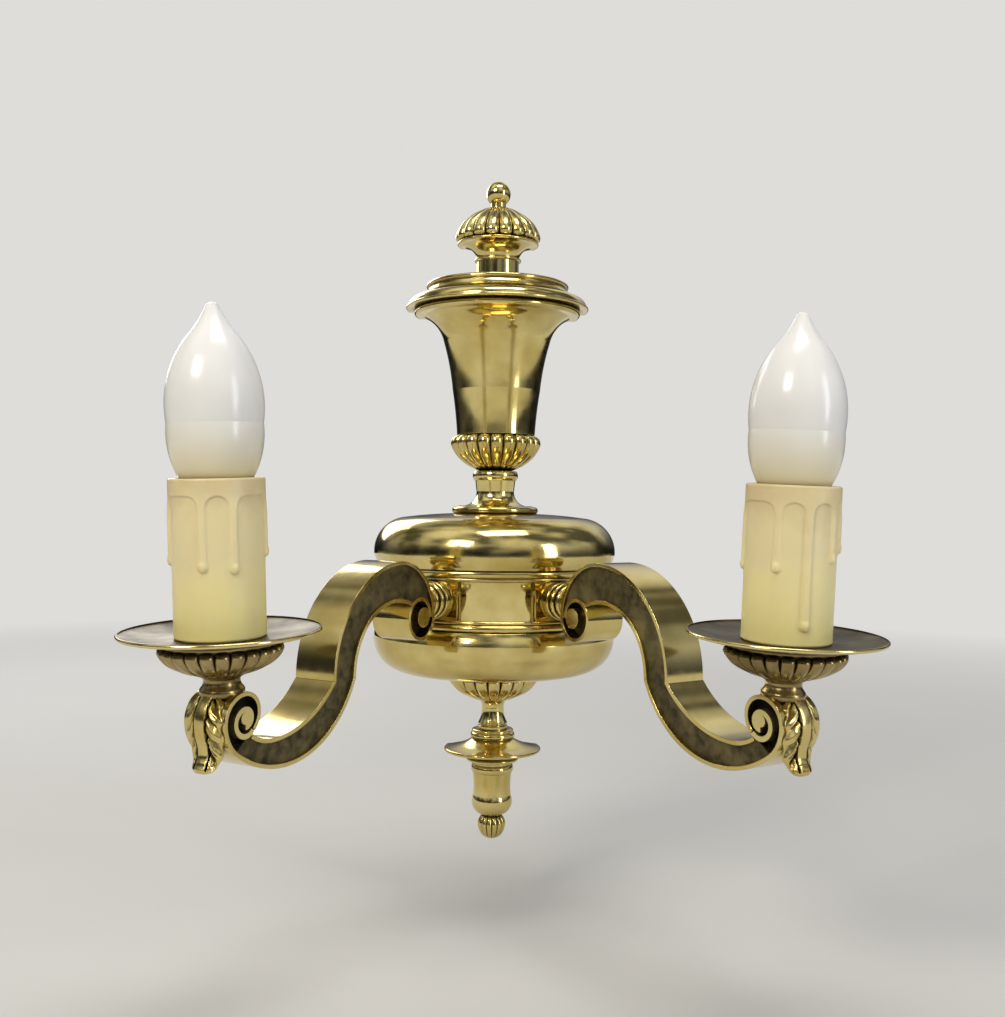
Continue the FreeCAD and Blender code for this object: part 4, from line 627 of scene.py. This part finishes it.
def ribbed_turning(node, ribs, shape):
    """shape lists (share of the widest radius, share of the height) from the axis at the foot to the axis at the top."""
    low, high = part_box(node)
    radius = (high.x - low.x) / 2 / MM
    tall = (high.z - low.z) / MM
    start = [(0.0, shape[0][1] * tall)]
    end = [(0.0, shape[-1][1] * tall)]
    outline = start + smooth_line([(r * radius, z * tall) for r, z in shape]) + end
    mesh = ribbed_mesh(node, outline, ribs, RIB_DEPTH, finishes["ribbed_brass"])
    on_column(mesh, low.z)
    return piece("carved_" + node, mesh, node, sharp=75.0)


ribbed_turning("ribbed_cap", 18, [(0.86, 0.0), (0.96, 0.04), (1.0, 0.14), (0.97, 0.30), (0.86, 0.52),
                                  (0.66, 0.74), (0.42, 0.91), (0.20, 1.0)])
ribbed_turning("urn_knop", 20, [(0.34, 0.0), (0.62, 0.16), (0.85, 0.40), (0.98, 0.66), (1.0, 0.80),
                                (0.96, 0.93), (0.84, 1.0)])
ribbed_turning("ribbed_bowl", 20, [(0.34, 0.0), (0.53, 0.12), (0.78, 0.34), (0.95, 0.62), (1.0, 0.84),
                                   (0.97, 0.95), (0.90, 1.0)])
ribbed_turning("drop_ball", 14, [(0.24, 0.0), (0.56, 0.09), (0.84, 0.27), (1.0, 0.57), (0.96, 0.76),
                                 (0.82, 0.92), (0.68, 1.0)])

# %% [markdown]
# ## Candle cups
# Under each drip pan hangs a shallow dish with 24 ribs, between a plain turned foot and a plain rim. The
# dish comes from the same rib tree; the foot and the rim are outlines turned about the axis. The three
# are one casting, so they become one mesh, drawn upright and then leaned with the candle's axis.

# %% Cups
# (radius, height above the seat), mm
CUP_FOOT = ((0.0, -2.0), (8.0, -2.0), (8.4, -1.6), (8.4, 0.5), (8.1, 1.0), (7.2, 2.2), (6.8, 3.4), (6.8, 4.4),
            (7.2, 5.0), (8.6, 5.8), (8.9, 6.4), (0.0, 6.6))
CUP_DISH = ((9.0, 6.0), (15.0, 8.0), (19.8, 10.6), (22.6, 13.6), (23.1, 15.2), (22.6, 16.4), (21.4, 17.0))
CUP_RIM = ((0.0, 16.2), (20.6, 16.2), (20.9, 16.9), (21.9, 17.4), (22.3, 18.0), (22.1, 18.6), (21.6, 18.7),
           (0.0, 18.7))


def turned_mesh(name, outline, steps=96):
    """Turn an outline of (radius, height) in millimetres about the Z axis."""
    angles = np.linspace(0, 2 * math.pi, steps, endpoint=False)
    radius, height = np.array(outline, float).T
    points = np.stack([radius[:, None] * np.cos(angles), radius[:, None] * np.sin(angles),
                       height[:, None] * np.ones(steps)], axis=-1)
    return grid_mesh(name, points * MM, wrap=True)


def joined_mesh(name, meshes):
    """Several meshes as one."""
    shape = bmesh.new()
    for mesh in meshes:
        shape.from_mesh(mesh)
    made = bpy.data.meshes.new(name)
    shape.to_mesh(made)
    shape.free()
    return made


for side in SIDES:
    node = side + "_ribbed_cup"
    dish = [(0.0, CUP_DISH[0][1])] + smooth_line(CUP_DISH) + [(0.0, CUP_DISH[-1][1])]
    ribs = ribbed_mesh(node + "_ribs", dish, 24, RIB_DEPTH, finishes["ribbed_brass"], rows=36)
    mesh = joined_mesh(node, [turned_mesh(node + "_foot", CUP_FOOT), ribs, turned_mesh(node + "_rim", CUP_RIM)])
    mesh.transform(candle_matrix(side))
    piece("carved_" + node, mesh, node, sharp=60.0)

# %% [markdown]
# ## Acanthus leaves
# A cast and chased leaf lies over the far side of each end volute and flares out at its tip. A smooth
# rib runs down its middle between two deep lines, and each half is carved in lobes: S-shaped grooves
# run down and out from the rib, the ridge beside each groove is rounded, and the leaf's edge swells
# between the grooves. All of this is one height over a flat leaf: a number for each point along and
# across it. The flat leaf is then bent along the same arcs as the solid under it.

# %% Leaves
LEAF_CENTRE = (-2.0, -11.0)     # centre of the scroll, from the candle's seat, mm
# (radius, degrees, side that the bend's centre lies on: 1 inside the scroll, -1 outside)
LEAF_BENDS = ((11.9, 50.0, 1), (15.9, 24.0, 1), (12.0, 24.0, -1), (7.0, 60.0, -1))
LEAF_RIB = 2.45                 # half width of the rib
LEAF_LINE = 0.75                # width of the deep line beside it
LEAF_BACK = -0.9                # underside, from the middle of the leaf's thickness
LEAF_LOBES = 4.3                # lobes along the leaf
LEAF_SLANT = 1.25               # how many lobes a groove crosses from the rib to the edge


def leaf_path(count):
    """Points (along the arm, up) and outward directions down the leaf, in mm from the seat."""
    r, z = LEAF_CENTRE
    first_radius, first_turn = LEAF_BENDS[0][:2]
    turn = math.radians(first_turn)
    spot = np.array([r + first_radius * math.cos(turn), z + first_radius * math.sin(turn)])
    heading = turn - math.pi / 2
    length = sum(radius * math.radians(degrees) for radius, degrees, side in LEAF_BENDS)
    step = length / (count - 1)
    spots, outward, bend, used = [], [], 0, 0.0
    for k in range(count):
        spots.append(spot.copy())
        outward.append((-math.sin(heading), math.cos(heading)))
        radius, degrees, inside = LEAF_BENDS[bend]
        if used + step > radius * math.radians(degrees) and bend < len(LEAF_BENDS) - 1:
            bend, used = bend + 1, 0.0
            radius, degrees, inside = LEAF_BENDS[bend]
        heading -= inside * step / radius
        used += step
        spot = spot + step * np.array([math.cos(heading), math.sin(heading)])
    return np.array(spots), np.array(outward)


def leaf_half_width(share):
    """Half width at a share of the length: narrow under the cup, wide at the belly, round at the tip."""
    body = np.interp(share, (0.0, 0.12, 0.40, 0.62, 0.80, 1.0), (5.6, 7.6, 9.1, 8.4, 6.6, 5.6))
    lobes = 1.0 + 0.07 * np.cos(2 * math.pi * (share * LEAF_LOBES - LEAF_SLANT))
    tip = np.sqrt(np.clip(1.0 - np.clip((share - 0.86) / 0.14, 0, 1) ** 2, 0.02, 1))
    return np.minimum(body * lobes * tip, 9.2)


def leaf_height(share, aside, half):
    """Height of the carving over the middle of the leaf's thickness, in mm."""
    out = np.clip((np.abs(aside) - LEAF_RIB - LEAF_LINE) / np.maximum(half - LEAF_RIB - LEAF_LINE, 0.3), 0, 1)
    rib = 2.3 - 0.35 * (aside / LEAF_RIB) ** 2
    turns = share * LEAF_LOBES - LEAF_SLANT * (out + 0.10 * np.sin(2 * math.pi * out))
    wave = (turns % 1.0 - 0.5) * 2
    lobe = 1.6 - 2.1 * np.abs(wave) ** 2.6
    fine = 0.22 * np.cos(2 * math.pi * turns * 3)
    field = lobe * (1.0 - 0.75 * out ** 2) + fine * (1 - out) - 0.55 * out
    on_rib = np.clip((LEAF_RIB + 0.12 - np.abs(aside)) / 0.24, 0, 1)
    in_line = np.clip((LEAF_RIB + LEAF_LINE - np.abs(aside)) / 0.3, 0, 1)
    height = field * (1 - in_line) - 0.45 * in_line
    height = height * (1 - on_rib) + rib * on_rib
    fade = np.clip((share - 0.90) / 0.10, 0, 1)
    return np.maximum(height * (1 - fade) + (height * 0.4 + 0.1) * fade, -0.45)


def leaf(side, rows=170, columns=121, back=9):
    node = side + "_leaf"
    seat, out, front, up = ARMS[side]
    spots, outward = leaf_path(rows)
    share = np.linspace(0, 1, rows)[:, None]
    half = leaf_half_width(share)
    aside = np.linspace(-1, 1, columns)[None, :] * half
    height = leaf_height(share + 0 * aside, aside, half + 0 * aside)
    under = np.linspace(1, -1, back)[None, :] * half
    aside = np.concatenate([aside, under], axis=1)
    height = np.concatenate([height, np.full_like(under, LEAF_BACK)], axis=1)
    ends = np.zeros_like(height)
    ends[1:-1] = 1.0
    aside, height = aside * ends, height * ends
    along = spots[:, 0:1] + outward[:, 0:1] * height
    rise = spots[:, 1:2] + outward[:, 1:2] * height
    points = (np.array(seat) / MM + along[..., None] * np.array(out) + rise[..., None] * np.array((0, 0, 1))
              + aside[..., None] * np.array(front))
    mesh = grid_mesh(node, points * MM, wrap=True)
    return piece("carved_" + node, mesh, node, sharp=55.0)


for side in SIDES:
    leaf(side)

# %% [markdown]
# ## Candle sleeves
# Each sleeve is a moulded tube dressed as a wax candle: a thin layer of wax covers its top and hangs
# down in runs that end in beads, with arches between them. A run, an arch and the layer's edge are one
# thing, the edge of a film, so the film's outline is worked out as a distance and turned into a
# thickness on a fine grid of points. The front runs are placed as in the photograph, the rest follow.

# %% Sleeves with wax runs
TUBE_RADIUS = 16.8      # tube below the wax, mm
WAX_THICK = 0.75
WAX_COLLAR = 6.3        # how far down the wax covers all round
WAX_ARCH = 5.0          # roundness of the arches between the runs
WAX_EDGE = 0.55         # width over which the wax ends
RUN_HALF = 1.75
BEAD_PROUD = 0.75
BEAD_RADIUS = 2.1
SLEEVE_RIM = 0.7        # rounding at the top and bottom edge
# (degrees from the side that faces the camera, length from the top)
WAX_RUNS = {
    "left": ((-87, 31.5), (-19, 33.3), (19, 34.2), (86, 29.3), (124, 38.0), (160, 27.0), (-160, 35.0), (-124, 26.0)),
    "right": ((-88, 32.4), (-17, 31.9), (21, 52.7), (60, 28.3), (90, 25.0), (128, 36.0), (168, 29.0), (-150, 41.0),
              (-120, 27.0)),
}


def wax(angles, depths, facing, runs):
    """Thickness of the wax, in mm, at angles round the sleeve and depths below its top."""
    edge = depths - WAX_COLLAR
    beads = np.zeros_like(depths)
    for degrees, length in runs:
        turn = (angles - facing - math.radians(degrees) + math.pi) % (2 * math.pi) - math.pi
        aside = turn * (TUBE_RADIUS + WAX_THICK)
        half = RUN_HALF * (1.0 - 0.18 * np.sin(depths / length * math.pi))
        below = np.maximum(depths - (length - RUN_HALF), 0.0)
        run = np.hypot(aside, below) - half
        blend = np.maximum(WAX_ARCH - np.abs(edge - run), 0.0) / WAX_ARCH
        edge = np.minimum(edge, run) - blend ** 2 * WAX_ARCH / 4
        near = np.hypot(aside, (depths - length + BEAD_RADIUS) / 1.25)
        beads = np.maximum(beads, BEAD_PROUD * np.exp(-(near / BEAD_RADIUS * 1.35) ** 2))
        crest = 0.35 * np.exp(-(aside / 1.3) ** 2) * (depths < length - 1.0) * np.clip((depths - 7.0) / 6.0, 0, 1)
        beads = np.maximum(beads, crest)
    film = np.clip(0.5 - edge / WAX_EDGE, 0.0, 1.0)
    return WAX_THICK * film * film * (3 - 2 * film) + beads


def sleeve(side):
    node = side + "_candle_sleeve"
    seat, out, front, up = ARMS[side]
    upright = Matrix.Translation(seat) @ Vector((0, 0, 1)).rotation_difference(up).to_matrix().to_4x4()
    heights = [(upright.inverted() @ v.co).z / MM for v in nodes[node].data.vertices]
    radii = [(upright.inverted() @ v.co).to_2d().length / MM for v in nodes[node].data.vertices]
    low, high, bore = min(heights), max(heights), min(radii)
    towards = CAMERA_PLACE - seat
    facing = math.atan2(towards.y, towards.x)
    angles = np.linspace(-math.pi, math.pi, 300, endpoint=False)
    levels = np.linspace(high - SLEEVE_RIM, low + SLEEVE_RIM, 190)
    turn, level = np.meshgrid(angles, levels)
    depth = high - level
    outer = TUBE_RADIUS + wax(turn, depth, facing, WAX_RUNS[side])
    rings = []
    for k in range(5):
        tip = math.pi / 2 * k / 4
        back = SLEEVE_RIM * (1 - math.cos(tip))
        rings.append((outer[0] - back, high - SLEEVE_RIM + SLEEVE_RIM * math.sin(tip)))
    rings = rings[::-1]
    inner = np.full_like(angles, bore)
    rows = [(inner, low), (inner, high - 0.3), (inner + 0.3, high)]
    rows += [(r, np.full_like(angles, z)) for r, z in rings]
    rows += [(outer[k], level[k]) for k in range(1, len(levels))]
    rows += [(outer[-1] - SLEEVE_RIM, np.full_like(angles, low)), (inner, np.full_like(angles, low))]
    points = np.zeros((len(rows), len(angles), 3))
    for k, (radius, z) in enumerate(rows):
        points[k, :, 0] = radius * np.cos(angles)
        points[k, :, 1] = radius * np.sin(angles)
        points[k, :, 2] = z
    mesh = grid_mesh(node, points * MM, wrap=True)
    mesh.transform(upright)
    return piece(side + "_wax_sleeve", mesh, node, sharp=50.0)


for side in SIDES:
    sleeve(side)

# %% [markdown]
# ## Floor, light and surroundings
# Brass shows almost nothing of its own: it shows the room. So the light is soft but not even. Large
# pale panels make the broad highlights, and the surroundings fall off to a darker tone lower down,
# which gives the metal its dark reflections. The backdrop itself stays pale.

# %% Floor
FLOOR_DROP = 0.035      # below the lowest point of the light
FLOOR_SIZE = 6.0
FLOOR_FADE = (0.35, 1.6)        # where the floor fades into the backdrop, metres from the light
BACKDROP = "#DEDDDA"

floor_mesh = bpy.data.meshes.new("floor")
floor_z = cad_box[0].z - FLOOR_DROP
half = FLOOR_SIZE / 2
floor_mesh.from_pydata([(-half, -half, floor_z), (half, -half, floor_z), (half, half, floor_z),
                        (-half, half, floor_z)], [], [(0, 1, 2, 3)])
paint, tree, shader, place = new_material("floor_paint")
tone = mix(tree, grains(tree, place, 120.0), linear("#D2D0CB"), linear("#CDCBC5"))
tree.links.new(tone, shader.inputs["Base Color"])
shader.inputs["Roughness"].default_value = 0.8
distance = add(tree, "ShaderNodeVectorMath", {0: place}, operation="LENGTH").outputs["Value"]
haze = add(tree, "ShaderNodeEmission", {"Color": linear(BACKDROP)}).outputs[0]
faded = add(tree, "ShaderNodeMixShader", {0: spread(tree, distance, *FLOOR_FADE), 1: shader.outputs[0], 2: haze})
tree.links.new(faded.outputs[0], tree.nodes["Material Output"].inputs["Surface"])
floor_mesh.materials.append(paint)
floor = bpy.data.objects.new("floor", floor_mesh)
bpy.context.scene.collection.objects.link(floor)


# %% Lights
def softbox(name, place, aim, width, height, power, colour="#FFFFFF"):
    """A soft rectangular light that faces a point."""
    data = bpy.data.lights.new(name, "AREA")
    data.shape = "RECTANGLE"
    data.size, data.size_y = width, height
    data.energy = power
    data.color = linear(colour)[:3]
    lamp = bpy.data.objects.new(name, data)
    bpy.context.scene.collection.objects.link(lamp)
    lamp.location = place
    lamp.rotation_mode = "QUATERNION"
    lamp.rotation_quaternion = (Vector(aim) - Vector(place)).to_track_quat("-Z", "Y")
    return lamp


AIM = (0.0, -0.05, 0.03)
softbox("key", (-0.75, -1.05, 0.85), AIM, 0.45, 0.40, 9.0, "#FFF8EC")
softbox("fill", (1.05, -0.85, 0.35), AIM, 0.25, 0.80, 4.0, "#F4F7FF")
softbox("top", (0.10, -0.35, 1.10), AIM, 0.6, 0.3, 4.0)
softbox("back", (-0.55, 0.90, 0.55), AIM, 0.6, 0.6, 4.0)

# %% World
world = bpy.data.worlds.new("studio")
bpy.context.scene.world = world
world.use_nodes = True
tree = world.node_tree
tree.nodes.clear()
direction = add(tree, "ShaderNodeTexCoord").outputs["Generated"]
height = add(tree, "ShaderNodeSeparateXYZ", {0: direction}).outputs["Z"]
room = add(tree, "ShaderNodeValToRGB", {0: spread(tree, height, -1.0, 1.0)})
ramp = room.color_ramp
for position, colour in ((0.35, "#55565C"), (0.47, "#24252B"), (0.56, "#5E6068"), (0.72, "#B4B5B8")):
    stop = ramp.elements.new(position)
    stop.color = linear(colour)
ramp.elements[0].color = linear("#8A8A8C")
ramp.elements[-1].color = linear("#E6E6E4")
corners = add(tree, "ShaderNodeTexNoise", {"Vector": direction, "Scale": 1.7, "Detail": 2.0}).outputs["Fac"]
room_light = spread(tree, corners, 0.40, 0.60, 0.18, 1.45)
seen = add(tree, "ShaderNodeLightPath").outputs["Is Camera Ray"]
around = add(tree, "ShaderNodeBackground", {"Color": room.outputs[0], "Strength": room_light})
backdrop = add(tree, "ShaderNodeBackground", {"Color": linear(BACKDROP), "Strength": 1.0})
both = add(tree, "ShaderNodeMixShader", {0: seen, 1: around.outputs[0], 2: backdrop.outputs[0]})
add(tree, "ShaderNodeOutputWorld", {0: both.outputs[0]})
bpy.context.scene.view_settings.view_transform = "Standard"
print("stage set: floor", round(floor_z, 4))
